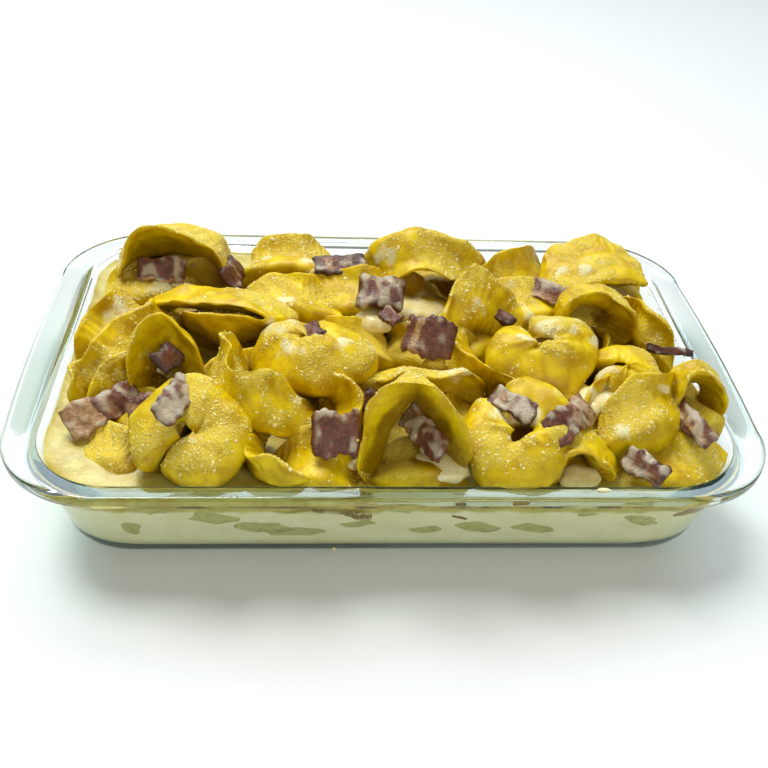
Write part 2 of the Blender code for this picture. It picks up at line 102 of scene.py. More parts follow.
# ---------------------------------------------------------------- pasta
FLAP_HALF = 1.3                 # mm, half the thickness of a sealed flap
ENDS_PASS = 3.0                 # mm, how far the two ends of a fold pass each other
EDGE_WAVES = 2.2                # half waves along a flap's edge
CURL_AT_EDGE = 1.6              # above 1, a flap curls mostly near its edge
CURL_STEPS = 8                  # in which a flap's curl is summed up
UNEVEN = ((17.0, 2.6), (8.0, 0.8))  # mm, wavelength and depth of each unevenness
UNEVEN_SHIFT = 0.37             # how far apart pieces of different sizes lie in the noise
UNEVEN_SEED = 2                 # which way each piece of dough is uneven
HEAP_TOP = (cad_box[1].z - DISH_HEIGHT) / MM - 1.0  # mm over the rim, less a crumb
FOLD_STEPS = 104                # along the fold of one piece
SECTION_STEPS = 60              # round its cross-section
SUNKEN_STEPS = (56, 36)         # the same for the pieces underneath
# Painted shade: where the dough lies below the heap's top around it, it is painted darker.
SHADE_CELL = 1.5                 # mm, the grid on which the heap's top is measured
SHADE_REACH = 9.0                # mm, how far round a point it is averaged
SHADE_FROM = -0.5                # mm below that average where the painted shade begins
SHADE_FADE = 9.0                 # mm, over which it gets full
DENTS = 0.6                     # mm, how deep the dough is dented
GRAIN = 0.18                    # mm, and its finer grain
CREASES = 0.4                   # mm, creases across the fold
EDGE_CREASES = 0.8              # mm, and those where the edge was pinched
COVER_THICK = 0.4               # mm, how much cream on a piece swells it
DUST_THICK = 0.2                # mm, and how much grated cheese does
PASTA_VALUES = ("cream", "cheese", "painted_shade")
BACON_VALUES = ("cream", "cheese", "fat", "fried", "edge")


# ---------------------------------------------------------------- colours
def shown(red, green, blue):
    """A colour as a screen shows it (0 to 255), in the linear values that a shader takes."""
    def linear(value):
        value = value / 255.0
        return value / 12.92 if value <= 0.04045 else ((value + 0.055) / 1.055) ** 2.4
    return (linear(red), linear(green), linear(blue), 1.0)


DOUGH_DEEP = shown(196, 154, 0)
DOUGH_BRIGHT = shown(236, 206, 4)
# Painted shade: the olive-brown that the dough is painted where it lies low between the pieces.
PAINTED_SHADE_COLOUR = shown(124, 84, 0)
CHEESE_DUST = shown(238, 210, 78)
CREAM_THIN = shown(240, 232, 184)
CREAM_YELLOW = shown(178, 152, 38)
CREAM_PALE = shown(208, 192, 92)
CREAM_DEEP = shown(252, 238, 190)
CREAM_DEEP_DARK = shown(240, 224, 168)
SMEAR_DARK = shown(178, 164, 84)
SMEAR_LIGHT = shown(204, 192, 116)
LEAN_DARK = shown(84, 40, 26)
LEAN_LIGHT = shown(128, 74, 50)
FAT_DARK = shown(146, 100, 60)
FAT_LIGHT = shown(192, 154, 106)
FRIED_DARK = shown(58, 30, 22)
BACON_CREAM = shown(216, 204, 174)
CHEESE_DARK = shown(226, 202, 92)
CHEESE_LIGHT = shown(242, 226, 150)
DROP_DARK = shown(226, 206, 124)
DROP_LIGHT = shown(242, 230, 176)
PEPPER_DARK = shown(40, 34, 22)
PEPPER_LIGHT = shown(92, 78, 44)
FLOOR_COLOUR = shown(232, 232, 230)
CREAM_TURNS_YELLOW = (30.5, 32.5)   # mm over the table, between which it turns yellow
GLASS_TINT = (0.62, 0.82, 0.84, 1.0)
GLASS_TINT_DENSITY = 36.0       # per metre
ROOM_LOW = (0.16, 0.17, 0.17, 1.0)
ROOM_HIGH = (0.62, 0.62, 0.6, 1.0)
WINDOW_LIGHT = (9.0, 11.0, 12.5, 1.0)
ROOM_STRENGTH = 0.6
ROOM_FADE = (0.05, 0.9)         # between which heights of view the room brightens
WINDOW_LOW, WINDOW_HIGH = 0.58, 0.74    # the window's lower and upper edge, as heights of view
WINDOW_BACK = 0.5               # how far behind the dish it begins
FLOOR_SIZE = 8.0
SMEAR_THICK = 1.6               # mm, half of it

# name, place, diameter (m) and power (W) of each lamp
SOFT_BOXES = (
    ("overhead box", (-0.25, 0.35, 0.9), 0.4, 7.4),
    ("front fill", (0.3, -0.9, 0.6), 0.5, 3.0),
)

CAMERA_LENS = 46.875            # mm, on a sensor 36 mm wide
CAMERA_SENSOR = 36.0
CAMERA_SHIFT = 0.01502
CAMERA_PLACE = (-0.02942, -0.32060, 0.26368)
CAMERA_TURNS = (("Z", -5.474), ("X", -37.554), ("Y", -3.811), ("X", 90.0))  # degrees

# What is scattered: name, slot, how many per square metre, smallest and largest size
# and how far it stands off the food (mm), seed, and how round it is.
CRUMBS = (
    ("grated_cheese", "cream", 300000.0, (0.5, 0.4, 0.3), (2.2, 1.2, 0.8), -0.1, 3, 1),
    ("cream_droplets", "cream", 5200.0, (0.7, 0.7, 0.5), (2.2, 1.9, 0.8), 0.0, 11, 2),
    ("pepper_specks", "cooked_bacon", 1500.0, (0.3, 0.3, 0.2), (0.8, 0.6, 0.4), 0.0, 23, 1),
)

# How a round of pasta is folded over its filling: bend of the fold round its ring (degrees
# each way), the flap's lean at the fold and its curl outwards towards its edge (degrees),
# the belly's half thickness outside and inside (mm), and how pointed the outline is.
# Where a piece needs it: the width left at its ends (a share), how much the ring is
# pressed flat (squash), its edge's ripple, its middle drawn to a peak, and its top
# swayed sideways (mm).
FORMS = {
    "ring": dict(bend=160, lean=0, curl=20, belly=9, hollow=6, point=2.4),
    "funnel": dict(bend=130, lean=32, curl=-10, belly=6, hollow=4, point=2.0),
    "arch": dict(bend=80, lean=-5, curl=20, belly=10, hollow=6, point=2.2),
    "moon": dict(bend=55, lean=-12, curl=30, belly=9, hollow=6, point=2.2),
    "bun": dict(bend=174, lean=25, curl=-135, belly=7, hollow=6, point=3.0, ends=0.6),
    "pocket": dict(bend=28, lean=0, curl=10, belly=10, hollow=8, point=2.6),
    "leaf": dict(bend=30, lean=-20, curl=80, belly=7, hollow=6, point=2.0),
}

# Each piece: number, form, middle (mm, heights from the rim), heading, lean and spin
# (degrees), length along the fold, width from fold to flap (mm), and what else is its own.
PASTA = [
    ("08", "bun", (-27, -22, 10), (-6, 4, 0), 72, 30, dict(bend=179, squash=1.2, curl=-150, ends=0.85)),
    ("14", "bun", (57, -22, 11), (-4, 22, 10), 64, 26, dict(squash=1.2)),
    ("10", "arch", (18, 41, 13), (0, 98, 180), 64, 28, dict(bend=78)),
    ("01", "moon", (-85, 44, 12), (-6, 62, 180), 54, 34, dict(bend=88, lean=22, curl=-20, belly=8)),
    ("13", "pocket", (87, 38, 13), (4, -86, 0), 44, 30, dict(bend=25, belly=3, hollow=9, ripple=2.0)),
    ("03", "moon", (-93, -7, 7), (58, -35, 0), 64, 20, dict(belly=6)),
    ("06", "ring", (-63, 1, 12), (-12, 52, 90), 58, 26,
     dict(bend=168, squash=0.45, belly=7, hollow=5, curl=-15)),
    ("11", "moon", (31, 6, 13), (24, -20, 185), 46, 34, dict(bend=50, point=1.15, sway=-11)),
    ("26", "moon", (-50, -46, 11), (-48, 12, 0), 52, 30,
     dict(bend=75, lean=5, curl=-30, ripple=3.0, sway=-5)),
    ("23", "funnel", (6, -63, 7), (0, 66, 180), 48, 30, dict(squash=0.8, point=1.5, belly=5, peak=7)),
    ("22", "bun", (43, -62, 6), (0, 30, 12), 66, 24, dict(belly=8)),
    ("27", "bun", (-68, -63, 6), (0, 24, 130), 70, 27, dict(bend=179, squash=1.1, curl=-145, ends=0.85)),
    ("19", "moon", (91, -50, 6), (24, -32, 0), 50, 30, dict(bend=50, sway=6)),
    ("34", "ring", (107, -42, 4), (10, 85, 170), 64, 14, dict(bend=110, squash=0.7, belly=4)),
    ("18", "bun", (87, -29, 7), (10, 10, 60), 46, 22, dict(belly=6)),
    ("15", "funnel", (84, 8, 8), (0, 80, 170), 36, 20),
    ("16", "leaf", (104, 8, 4), (-50, -20, 0), 40, 24),
    ("17", "ring", (46, -18, 4), (-20, 15, -10), 86, 20, dict(bend=100, belly=6)),
    ("07", "pocket", (-38, 45, 8), (-4, -50, 0), 38, 26, dict(belly=11, hollow=10)),
    ("12", "moon", (57, 42, 5), (30, -20, 0), 50, 28),
    ("24", "leaf", (13, -31, 5), (4, 10, 0), 46, 24),
    ("25", "ring", (-23, -44, 2), (0, 35, 30), 50, 20, dict(belly=7)),
    ("29", "arch", (-43, -69, 2), (-55, 25, 0), 34, 20, dict(bend=70, belly=4, hollow=3)),
    ("36", "moon", (-26, -68, -4), (-10, -36, 0), 42, 28, dict(point=1.5)),
    ("20", "moon", (77, -38, 0), (60, -20, 0), 40, 26),
    ("35", "ring", (64, -66, -2), (0, 80, 180), 40, 16, dict(bend=130, belly=5)),
    ("30", "funnel", (-81, -23, 6), (6, 52, 180), 38, 22, dict(squash=0.85, point=1.5, belly=5, peak=5)),
    ("04", "pocket", (-105, 8, -1), (70, -30, 0), 44, 28),
    ("02", "pocket", (-95, 33, 2), (0, -50, 0), 38, 24, dict(belly=7)),
    ("05", "pocket", (-109, -22, -2), (80, -20, 0), 24, 18, dict(belly=3, hollow=2)),
    ("09", "pocket", (-37, 18, 6), (0, -50, 0), 42, 28),
    ("32", "pocket", (-11, 25, 4), (10, -50, 0), 44, 30),
    ("33", "moon", (60, 20, 3), (20, -50, 0), 46, 30),
    ("31", "pocket", (-96, -24, -5), (60, -30, 0), 34, 26),
    ("21", "pocket", (99, -64, -9), (-6, -50, 0), 44, 26, dict(belly=8)),
    ("28", "pocket", (-96, -58, -9), (-20, -60, 0), 28, 24, dict(belly=6)),
]

# ---------------------------------------------------------------- bacon
# number, middle (mm, heights from the rim), heading, lean and roll (degrees),
# length, width and thickness (mm), bend (degrees), and its looks: where its fat lies (0 in
# the middle, 1 or -1 at an edge, measured along or across the slice) and how wide it is,
# how much cream is on it, and how dark it was fried (0 to 1)
BACON = [
    ("01", (-89, 34, 12), (0, 50, 0), (19, 10, 3), 20, ("across", -0.8, 0.35, 0.4, 0.2)),
    ("02", (-60, 34, 11), (80, 55, 0), (17, 10, 3), 10, ("along", 0.1, 0.2, 0.1, 0.6)),
    ("03", (-17, 37, 14), (10, 20, 0), (22, 9, 3), 0, ("along", -0.6, 0.5, 0.25, 0.8)),
    ("04", (-1, 16, 14), (-10, 35, 0), (18, 13, 4), 10, ("across", 0.7, 0.3, 0.55, 0.6)),
    ("05", (2, 2, 12), (-50, 20, 0), (9, 6, 3), 0, ("across", 0.8, 0.3, 0.1, 0.4)),
    ("06", (15, -16, 15), (-20, 50, 0), (20, 15, 3), 35, ("along", -0.5, 0.4, 0.12, 0.45)),
    ("07", (-28, -20, 20), (-60, 20, 0), (9, 7, 2), 0, ("along", -0.8, 0.2, 0.0, 0.6)),
    ("08", (-100, -42, 1), (40, 35, 0), (30, 12, 3), 20, ("along", -0.7, 0.9, 0.25, 0.15)),
    ("09", (-86, -41, 1), (20, 40, 0), (14, 9, 3), 0, ("across", 0.2, 0.4, 0.15, 0.15)),
    ("10", (-79, -30, 14), (60, 40, 0), (12, 9, 3), 0, ("across", 0.9, 0.2, 0.0, 0.9)),
    ("11", (-72, -60, 20), (70, 40, 0), (22, 9, 3), 15, ("across", 0.1, 0.4, 0.7, 0.3)),
    ("12", (-63, -54, 18), (40, 30, 0), (8, 4, 2), 0, ("across", 0.9, 0.3, 0.0, 0.9)),
    ("13", (-20, -66, 10), (0, 50, 0), (16, 15, 3), 10, ("across", 0.9, 0.2, 0.3, 0.3)),
    ("14", (-8, -42, 6), (50, 40, 0), (11, 6, 3), 0, ("across", 0.9, 0.2, 0.0, 0.9)),
    ("15", (9, -64, 9), (-65, 60, 0), (25, 9, 3), 10, ("along", -0.7, 0.5, 0.45, 0.3)),
    ("16", (40, -56, 15), (-40, 25, 0), (18, 8, 3), 20, ("along", -0.4, 0.5, 0.6, 0.6)),
    ("17", (60, -60, 12), (45, 35, 0), (23, 11, 3), 10, ("along", 0.6, 0.7, 0.3, 0.2)),
    ("18", (67, 20, 13), (-35, 30, 0), (17, 9, 3), 20, ("across", -0.7, 0.4, 0.35, 0.35)),
    ("19", (46, 6, 10), (-40, 20, 0), (12, 5, 3), 0, ("across", 0.8, 0.3, 0.2, 0.8)),
    ("20", (110, -10, 6), (-10, 40, 0), (18, 3, 2), 0, ("across", 0.9, 0.2, 0.0, 0.9)),
    ("21", (103, -56, 9), (-75, 50, 0), (25, 7, 2), 30, ("across", -0.2, 0.4, 0.5, 0.3)),
    ("22", (85, -72, 1), (-50, 50, 0), (16, 8, 4), 0, ("across", -0.8, 0.6, 0.45, 0.6)),
]

# Pieces that lie deeper, half in the cream, and show between the others:
# form, middle, heading, lean and spin, length and width.
SUNKEN_PASTA = [
    ("pocket", (-84, 49, 5), (0, -65, 0), 46, 26),
    ("pocket", (96, 44, 2), (-10, -60, 0), 34, 26),
    ("pocket", (105, -43, 0), (10, -60, 0), 32, 22),
    ("pocket", (-20, 0, -3), (10, -40, 0), 46, 26),
    ("moon", (20, -2, -3), (-20, -30, 0), 50, 28),
    ("pocket", (26, 52, -3), (5, -60, 0), 46, 26),
    ("moon", (14, 30, -1), (20, -50, 0), 44, 26),
    ("pocket", (38, 6, -3), (40, -50, 0), 42, 26),
    ("pocket", (88, -8, -5), (70, -30, 0), 42, 24),
    ("pocket", (-84, 36, -1), (10, -40, 0), 48, 30),
    ("pocket", (-66, 14, -1), (-20, -40, 0), 46, 26),
    ("pocket", (-50, -24, -2), (30, -40, 0), 46, 26),
    ("moon", (-10, -38, -4), (0, -40, 0), 46, 26),
    ("pocket", (16, -44, -4), (30, -30, 0), 40, 22),
    ("moon", (8, -66, -8), (0, -60, 0), 42, 24),
    ("pocket", (60, -40, -3), (0, -40, 0), 46, 26),
    ("pocket", (76, 28, -3), (-30, -40, 0), 46, 26),
    ("pocket", (-60, -44, -5), (60, -30, 0), 40, 24),
    ("pocket", (66, -58, -7), (10, -30, 0), 36, 22),
    ("moon", (-82, -44, -5), (-30, -40, 0), 40, 24),
    ("pocket", (-45, 34, -3), (0, -50, 0), 46, 26),
]

# Cream that lies in puddles between the pieces: middle and half sizes.
CREAM_PUDDLES = [
    ((76, -42, 5), (10, 8, 4)), ((-88, 32, 5), (12, 5, 3)), ((-3, 12, 4), (8, 8, 4)),
    ((12, 22, 3), (14, 9, 3)), ((16, -66, -4), (12, 8, 4)), ((-16, -62, -3), (8, 7, 3)),
    ((64, -70, -6), (8, 6, 3)), ((98, -56, -6), (10, 8, 3)), ((44, 28, 1), (10, 8, 4)),
    ((-84, -52, -2), (8, 7, 3)),
]

# Where cream has been spooned over the pieces: middle and reach.
CREAM_SPOTS = [
    ((-40, -16, 19), 9), ((-36, -30, 18), 7), ((-33, -46, 16), 8), ((-17, -28, 20), 7),
    ((-5, -20, 15), 7), ((2, 38, 17), 8), ((0, 20, 12), 9), ((8, 6, 8), 9), ((75, 34, 17), 6),
    ((84, 31, 18), 8), ((90, 26, 12), 5), ((58, -16, 20), 8), ((50, -22, 19), 5), ((68, -16, 19), 7),
    ((76, -20, 14), 5), ((78, -33, 12), 6), ((80, -60, 6), 5), ((73, -43, 6), 9), ((84, -42, 14), 4),
    ((36, -58, 13), 6), ((48, -60, 13), 6), ((55, -54, 14), 5), ((-102, 11, 7), 10), ((-100, 4, 8), 7),
    ((-70, -58, 12), 5), ((-68, -70, 8), 5), ((-88, 28, 8), 9), ((-30, 36, 12), 7), ((-46, 44, 13), 5),
    ((24, -34, 11), 7), ((6, -36, 10), 6), ((22, 2, 18), 6), ((36, 6, 16), 5), ((50, 27, 12), 7),
    ((58, 12, 8), 6), ((-38, 12, 13), 5), ((16, 22, 4), 10), ((-84, -50, 2), 6), ((-72, -34, 8), 6),
    ((96, -46, 14), 4), ((-66, 2, 18), 4),
]


# ================================================================ pasta shapes
def unit(values):
    return np.clip(values, 0.0, 1.0)


def grid_noise(points, wave, shift):
    """A smooth noise vector for each point of a grid."""
    flat = points.reshape(-1, 3) / wave + np.array(shift)
    values = [noise.noise_vector(Vector(place)) for place in flat]
    return np.array(values).reshape(points.shape)


def grid_normals(points):
    """Unit normals of a grid that is closed along its second side."""
    along = np.gradient(points, axis=0)
    around = np.roll(points, -1, axis=1) - np.roll(points, 1, axis=1)
    normals = np.cross(around, along)
    length = np.linalg.norm(normals, axis=-1, keepdims=True)
    normals = normals / np.maximum(length, 1e-9)
    middle = points.mean(axis=1, keepdims=True)
    facing = ((points - middle) * normals).sum()
    return normals if facing > 0.0 else -normals


def tortellino_points(form, fold_steps, section_steps):
    """Closed rings of points (mm), one for each step along the fold."""
    u = np.linspace(-1.0, 1.0, fold_steps + 1)[:, None]
    turn = 2.0 * math.pi * (np.arange(section_steps) + 0.5) / section_steps
    rise = (0.5 - 0.5 * np.cos(turn))[None, :]
    side = (np.sign(np.sin(turn)) * np.abs(np.sin(turn)) ** 0.6)[None, :]
    bend = math.radians(form["bend"])
    radius = form["length"] / 2.0 / bend + ENDS_PASS * u
    outline = (1.0 - np.abs(u) ** form["point"]) ** (1.0 / form["point"])
    ends = form.get("ends", 0.22)
    width = form["width"] * (ends + (1.0 - ends) * outline)
    puff = np.exp(-((rise - 0.36) / 0.28) ** 2) * outline ** 0.7
    outside = FLAP_HALF + (form["belly"] - FLAP_HALF) * puff
    inside = FLAP_HALF + (form["hollow"] - FLAP_HALF) * puff
    offset = np.where(side > 0.0, side * outside, side * inside)
    waves = np.sin(EDGE_WAVES * math.pi * u)
    offset = offset + form.get("ripple", 1.5) * rise ** 2 * waves
    lean = math.radians(form["lean"])
    curl = math.radians(form["curl"])
    out = np.zeros_like(u * rise)
    up = np.zeros_like(u * rise)
    for step in range(CURL_STEPS):
        here = lean + curl * (rise * (step + 0.5) / CURL_STEPS) ** CURL_AT_EDGE
        out += np.sin(here) / CURL_STEPS
        up += np.cos(here) / CURL_STEPS
    tilt = lean + curl * rise ** CURL_AT_EDGE
    reach = width * rise * out + offset * np.cos(tilt)
    height = width * rise * up - offset * np.sin(tilt)
    squash = form.get("squash", 1.0)
    x = (radius * squash + reach) * np.sin(bend * u) + form.get("sway", 0.0) * rise
    y = -(radius / squash + reach) * np.cos(bend * u)
    y = y - form.get("peak", 0.0) * unit(1.0 - np.abs(u) / 0.5) ** 1.5
    points = np.stack([x, y, height], axis=-1)
    for wave, depth in UNEVEN:
        shift = np.array((form["length"], form["width"], form["bend"])) * UNEVEN_SHIFT
        points = points + depth * grid_noise(points, wave, shift)
    flat = points.reshape(-1, 3)
    points -= (flat.min(axis=0) + flat.max(axis=0)) / 2.0
    return points, rise, side


def dough_relief(points, rise, side, outline_shift):
    """Dents, a finer grain and soft creases across the fold and where the edge was pinched, pushed along the
    normals.
    """
    normals = grid_normals(points)
    dents = grid_noise(points, 6.0, outline_shift)[..., 0]
    grain = grid_noise(points, 2.4, outline_shift)[..., 1]
    u = np.linspace(-1.0, 1.0, points.shape[0])[:, None]
    wander = grid_noise(points, 12.0, outline_shift)[..., 2]
    creases = np.sin(u * 34.0 + wander * 9.0)
    folded = unit(-side) * unit(1.0 - rise * 1.4)
    pinch = np.clip(rise - 0.62, 0.0, 0.38) / 0.38
    push = DENTS * dents + GRAIN * grain + CREASES * creases * folded
    push += EDGE_CREASES * creases * pinch * (1.0 - pinch)
    return points + normals * push[..., None]


def pose(middle, angles):
    """Where a piece stands: heading about Z, then lean about X, then spin about Z."""
    heading, lean, spin = (math.radians(angle) for angle in angles)
    turn = Matrix.Rotation(heading, 3, "Z") @ Matrix.Rotation(lean, 3, "X")
    return np.array(turn @ Matrix.Rotation(spin, 3, "Z")), np.array(middle, float)


def posed(points, middle, angles):
    turn, place = pose(middle, angles)
    return points @ turn.T + place


def kept_in_dish(points, into_glass=INTO_GLASS):
    """Moves what would cross the glass back to just inside the wall's surface."""
    top = (DISH_HEIGHT - RIM_ROUND) / MM
    bottom = (BASE_THICK + INNER_FILLET) / MM
    height = points[..., 2] + DISH_HEIGHT / MM
    share = np.clip((top - height) / (top - bottom), 0.0, 1.3)
    inset = WALL_DRAFT / MM * share - into_glass / MM
    corner = (INNER_CORNER - CORNER_DRAFT * unit(share)) / MM
    half_x = INNER_LENGTH / 2.0 / MM - inset - corner
    half_y = INNER_WIDTH / 2.0 / MM - inset - corner
    over_x = np.maximum(np.abs(points[..., 0]) - half_x, 0.0)
    over_y = np.maximum(np.abs(points[..., 1]) - half_y, 0.0)
    far = np.hypot(over_x, over_y)
    scale = np.where(far > corner, corner / np.maximum(far, 1e-6), 1.0)
    kept = np.minimum(points, (np.inf, np.inf, HEAP_TOP))
    kept[..., 0] = np.sign(points[..., 0]) * np.where(
        over_x > 0.0, half_x + over_x * scale, np.abs(points[..., 0]))
    kept[..., 1] = np.sign(points[..., 1]) * np.where(
        over_y > 0.0, half_y + over_y * scale, np.abs(points[..., 1]))
    return kept


def cream_cover(points, ragged):
    """How much cream lies on each point, 0 to 1, with a ragged edge."""
    cover = np.zeros(points.shape[:-1])
    for middle, reach in CREAM_SPOTS:
        away = np.linalg.norm(points - np.array(middle), axis=-1) / reach
        cover = np.maximum(cover, unit((0.85 - away + 0.8 * ragged) / 0.8))
    return cover


# ================================================================ making meshes
def link(name, mesh, material):
    mesh.name = name
    mesh.materials.clear()
    mesh.materials.append(material)
    mesh.shade_smooth()
    obj = bpy.data.objects.new(name, mesh)
    bpy.context.collection.objects.link(obj)
    return obj


def tube(rings):
    """A closed solid from rings of points: quads between them and a fan over each end."""
    rows, count = rings.shape[:2]
    points = np.vstack([rings.reshape(-1, 3), rings[0].mean(axis=0), rings[-1].mean(axis=0)])
    k = np.arange(count)
    after = (k + 1) % count
    base = np.arange(rows - 1)[:, None] * count
    quads = np.stack([base + k, base + after, base + count + after, base + count + k], axis=-1)
    quads = quads.reshape(-1, 4)
    last = (rows - 1) * count
    start_fan = np.stack([after, k, np.full(count, rows * count)], axis=-1)
    end_fan = np.stack([last + k, last + after, np.full(count, rows * count + 1)], axis=-1)
    corners = np.vstack([quads[:, (0, 1, 2)], quads[:, (0, 2, 3)], start_fan, end_fan])
    first, second, third = (points[corners[:, j]] for j in range(3))
    faces = quads.tolist() + start_fan.tolist() + end_fan.tolist()
    if np.einsum("ij,ij->i", first, np.cross(second, third)).sum() < 0.0:
        faces = [face[::-1] for face in faces]
    return points, faces


def tube_solid(rings, values):
    """The same in mm from the rim, with named values at its points."""
    points, faces = tube(rings * MM + np.array((0.0, 0.0, DISH_HEIGHT)))
    whole = {name: np.concatenate([grid.reshape(-1), [grid[0].mean(), grid[-1].mean()]])
             for name, grid in values.items()}
    return points, faces, whole


def solids_mesh(solids, names):
    """One mesh from several solids, with the named values at its points."""
    mesh = bpy.data.meshes.new("solids")
    points, faces, done = [], [], 0
    for solid_points, solid_faces, _ in solids:
        points.extend(solid_points.tolist())
        faces.extend([corner + done for corner in face] for face in solid_faces)
        done = len(points)
    mesh.from_pydata(points, [], faces)
    for name in names:
        whole = np.concatenate([values[name] for _, _, values in solids])
        mesh.attributes.new(name, "FLOAT", "POINT").data.foreach_set("value", whole.astype(np.float32))
    return mesh


def stand_for(obj, slot, *nodes):
    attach(obj, "root")
    if nodes:
        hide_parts(*nodes)
    return obj


def pasta_solid(form, middle, angles, steps):
    shape, rise, side = tortellino_points(form, *steps)
    shift = np.array(middle) * 0.31 + form["length"]
    shape = dough_relief(shape, rise, side, shift)
    points = kept_in_dish(posed(shape, middle, angles))
    normals = grid_normals(points)
    ragged = grid_noise(points, 4.5, (3.1, 0.7, 5.9))[..., 0]
    cover = cream_cover(points, ragged)
    sunny = unit((normals[..., 2] - 0.15) / 0.5)
    drift = grid_noise(points, 16.0, (8.3, 2.9, 1.7))[..., 0]
    edge = unit((rise - 0.7) / 0.2)
    cheese = unit(sunny * (0.45 + 2.0 * drift + 0.8 * ragged + 0.35 * edge))
    points = points + normals * (COVER_THICK * cover + DUST_THICK * cheese * ragged)[..., None]
    return tube_solid(points, {"cream": cover, "cheese": cheese})


def sized(form, length, width, own=()):
    return {**FORMS[form], "length": length, "width": width, **dict(own)}


def add_painted_shade(solids):
    """How far each point lies below its surroundings, 0 to 1: there the dough is painted darker, as shade."""
    points = np.vstack([solid[0] for solid in solids]) / MM
    size = np.array((INNER_LENGTH, INNER_WIDTH)) / MM + 2.0 * SHADE_REACH
    shape = np.ceil(size / SHADE_CELL).astype(int)

    def cells(places):
        cell = ((places[:, :2] + size / 2.0) / SHADE_CELL).astype(int)
        return tuple(np.clip(cell, 0, shape - 1).T)

    tops = np.full(shape, SAUCE_LEVEL / MM)
    np.maximum.at(tops, cells(points), points[:, 2])
    reach = int(SHADE_REACH / SHADE_CELL)
    around = np.arange(-reach, reach + 1)
    weights = np.cos(around / (reach + 1.0) * math.pi / 2.0) ** 2
    weights /= weights.sum()
    for axis in (0, 1):
        tops = np.apply_along_axis(np.convolve, axis, tops, weights, mode="same")
    for solid_points, _, values in solids:
        places = solid_points / MM
        below = tops[cells(places)] - places[:, 2]
        values["painted_shade"] = unit((below - SHADE_FROM) / SHADE_FADE)


def make_pasta(material):
    """Every piece of pasta, and the solids that cheese is scattered on."""
    solids = [pasta_solid(sized(form, *sizes), middle, angles, (FOLD_STEPS, SECTION_STEPS))
              for _, form, middle, angles, *sizes in PASTA]
    deep = [pasta_solid(sized(form, *sizes), middle, angles, SUNKEN_STEPS)
            for form, middle, angles, *sizes in SUNKEN_PASTA]
    add_painted_shade(solids + deep)
    for row, solid in zip(PASTA, solids):
        piece = link("filled_pasta_" + row[0], solids_mesh([solid], PASTA_VALUES), material)
        stand_for(piece, "egg_pasta", "tortellino_" + row[0])
    stand_for(link("sunken_pasta", solids_mesh(deep, PASTA_VALUES), material), "egg_pasta")
    return solids


# ================================================================ bacon
def bacon_solid(middle, angles, size, bend, looks):
    """A cut slice with rounded edges, wavy along its length."""
    length, width, thick = size
    direction, fat_at, fat_wide, glaze, fried = looks
    steps, count = 44, 40
    along = np.linspace(-0.5, 0.5, steps)[:, None]
    turn = np.radians(bend) * along * 2.0
    around = 2.0 * math.pi * np.arange(count) / count
    across = (np.sign(np.cos(around)) * np.abs(np.cos(around)) ** 0.45)[None, :]
    layer = (np.sign(np.sin(around)) * np.abs(np.sin(around)) ** 0.45)[None, :]
    closing = unit((0.5 - np.abs(along)) * length / (thick * 0.5)) ** 0.5
    closing = 0.25 + 0.75 * closing
    ragged = 1.0 + 0.10 * np.sin(9.0 * along + length) + 0.05 * np.sin(31.0 * along + width)
    wide = width / 2.0 * ragged * (0.93 + 0.07 * closing)
    radius = length / max(math.radians(bend) * 2.0, 0.05)
    x = radius * np.sin(turn) if bend else length * along
    z = radius * (np.cos(turn) - 1.0) if bend else np.zeros_like(along)
    lift = layer * thick / 2.0 * closing + 0.4 * np.sin(3.0 * across + 5.0 * along)
    grid = np.stack([x + lift * np.sin(turn), across * wide, z + lift * np.cos(turn)], axis=-1)
    shift = np.array(middle) * 0.7
    grid = grid + 0.9 * grid_noise(grid, 6.0, shift) + 0.25 * grid_noise(grid, 2.0, shift)
    points = posed(grid, middle, angles)
    normals = grid_normals(points)
    clots = grid_noise(points, 3.6, (1.3, 4.1, 2.2))[..., 0]
    cream = unit((glaze - 0.45 + 0.9 * clots + 0.25 * normals[..., 2]) / 0.6)
    points = points + normals * (COVER_THICK * cream)[..., None]
    full = np.ones(points.shape[:2])
    edge = np.maximum(np.abs(across) * full, np.abs(along) * 2.0 * full)
    place = (along * 2.0 if direction == "along" else across) * full
    streaks = 0.45 * np.sin(12.0 * place + 3.0 * clots)
    fat = unit(1.0 - np.abs(place - fat_at + 0.3 * clots) / fat_wide + streaks)
    cheese = 0.03 * unit(normals[..., 2])
    values = {"cream": cream, "fat": fat, "fried": fried * full, "edge": edge, "cheese": cheese}
    return tube_solid(points, values)


def make_bacon(material):
    """Every slice of bacon, and the solids that cheese is scattered on."""
    solids = []
    for number, *slice_of in BACON:
        solid = bacon_solid(*slice_of)
        piece = link("bacon_slice_" + number, solids_mesh([solid], BACON_VALUES), material)
        stand_for(piece, "cooked_bacon", "bacon_" + number)
        solids.append(solid)
    return solids


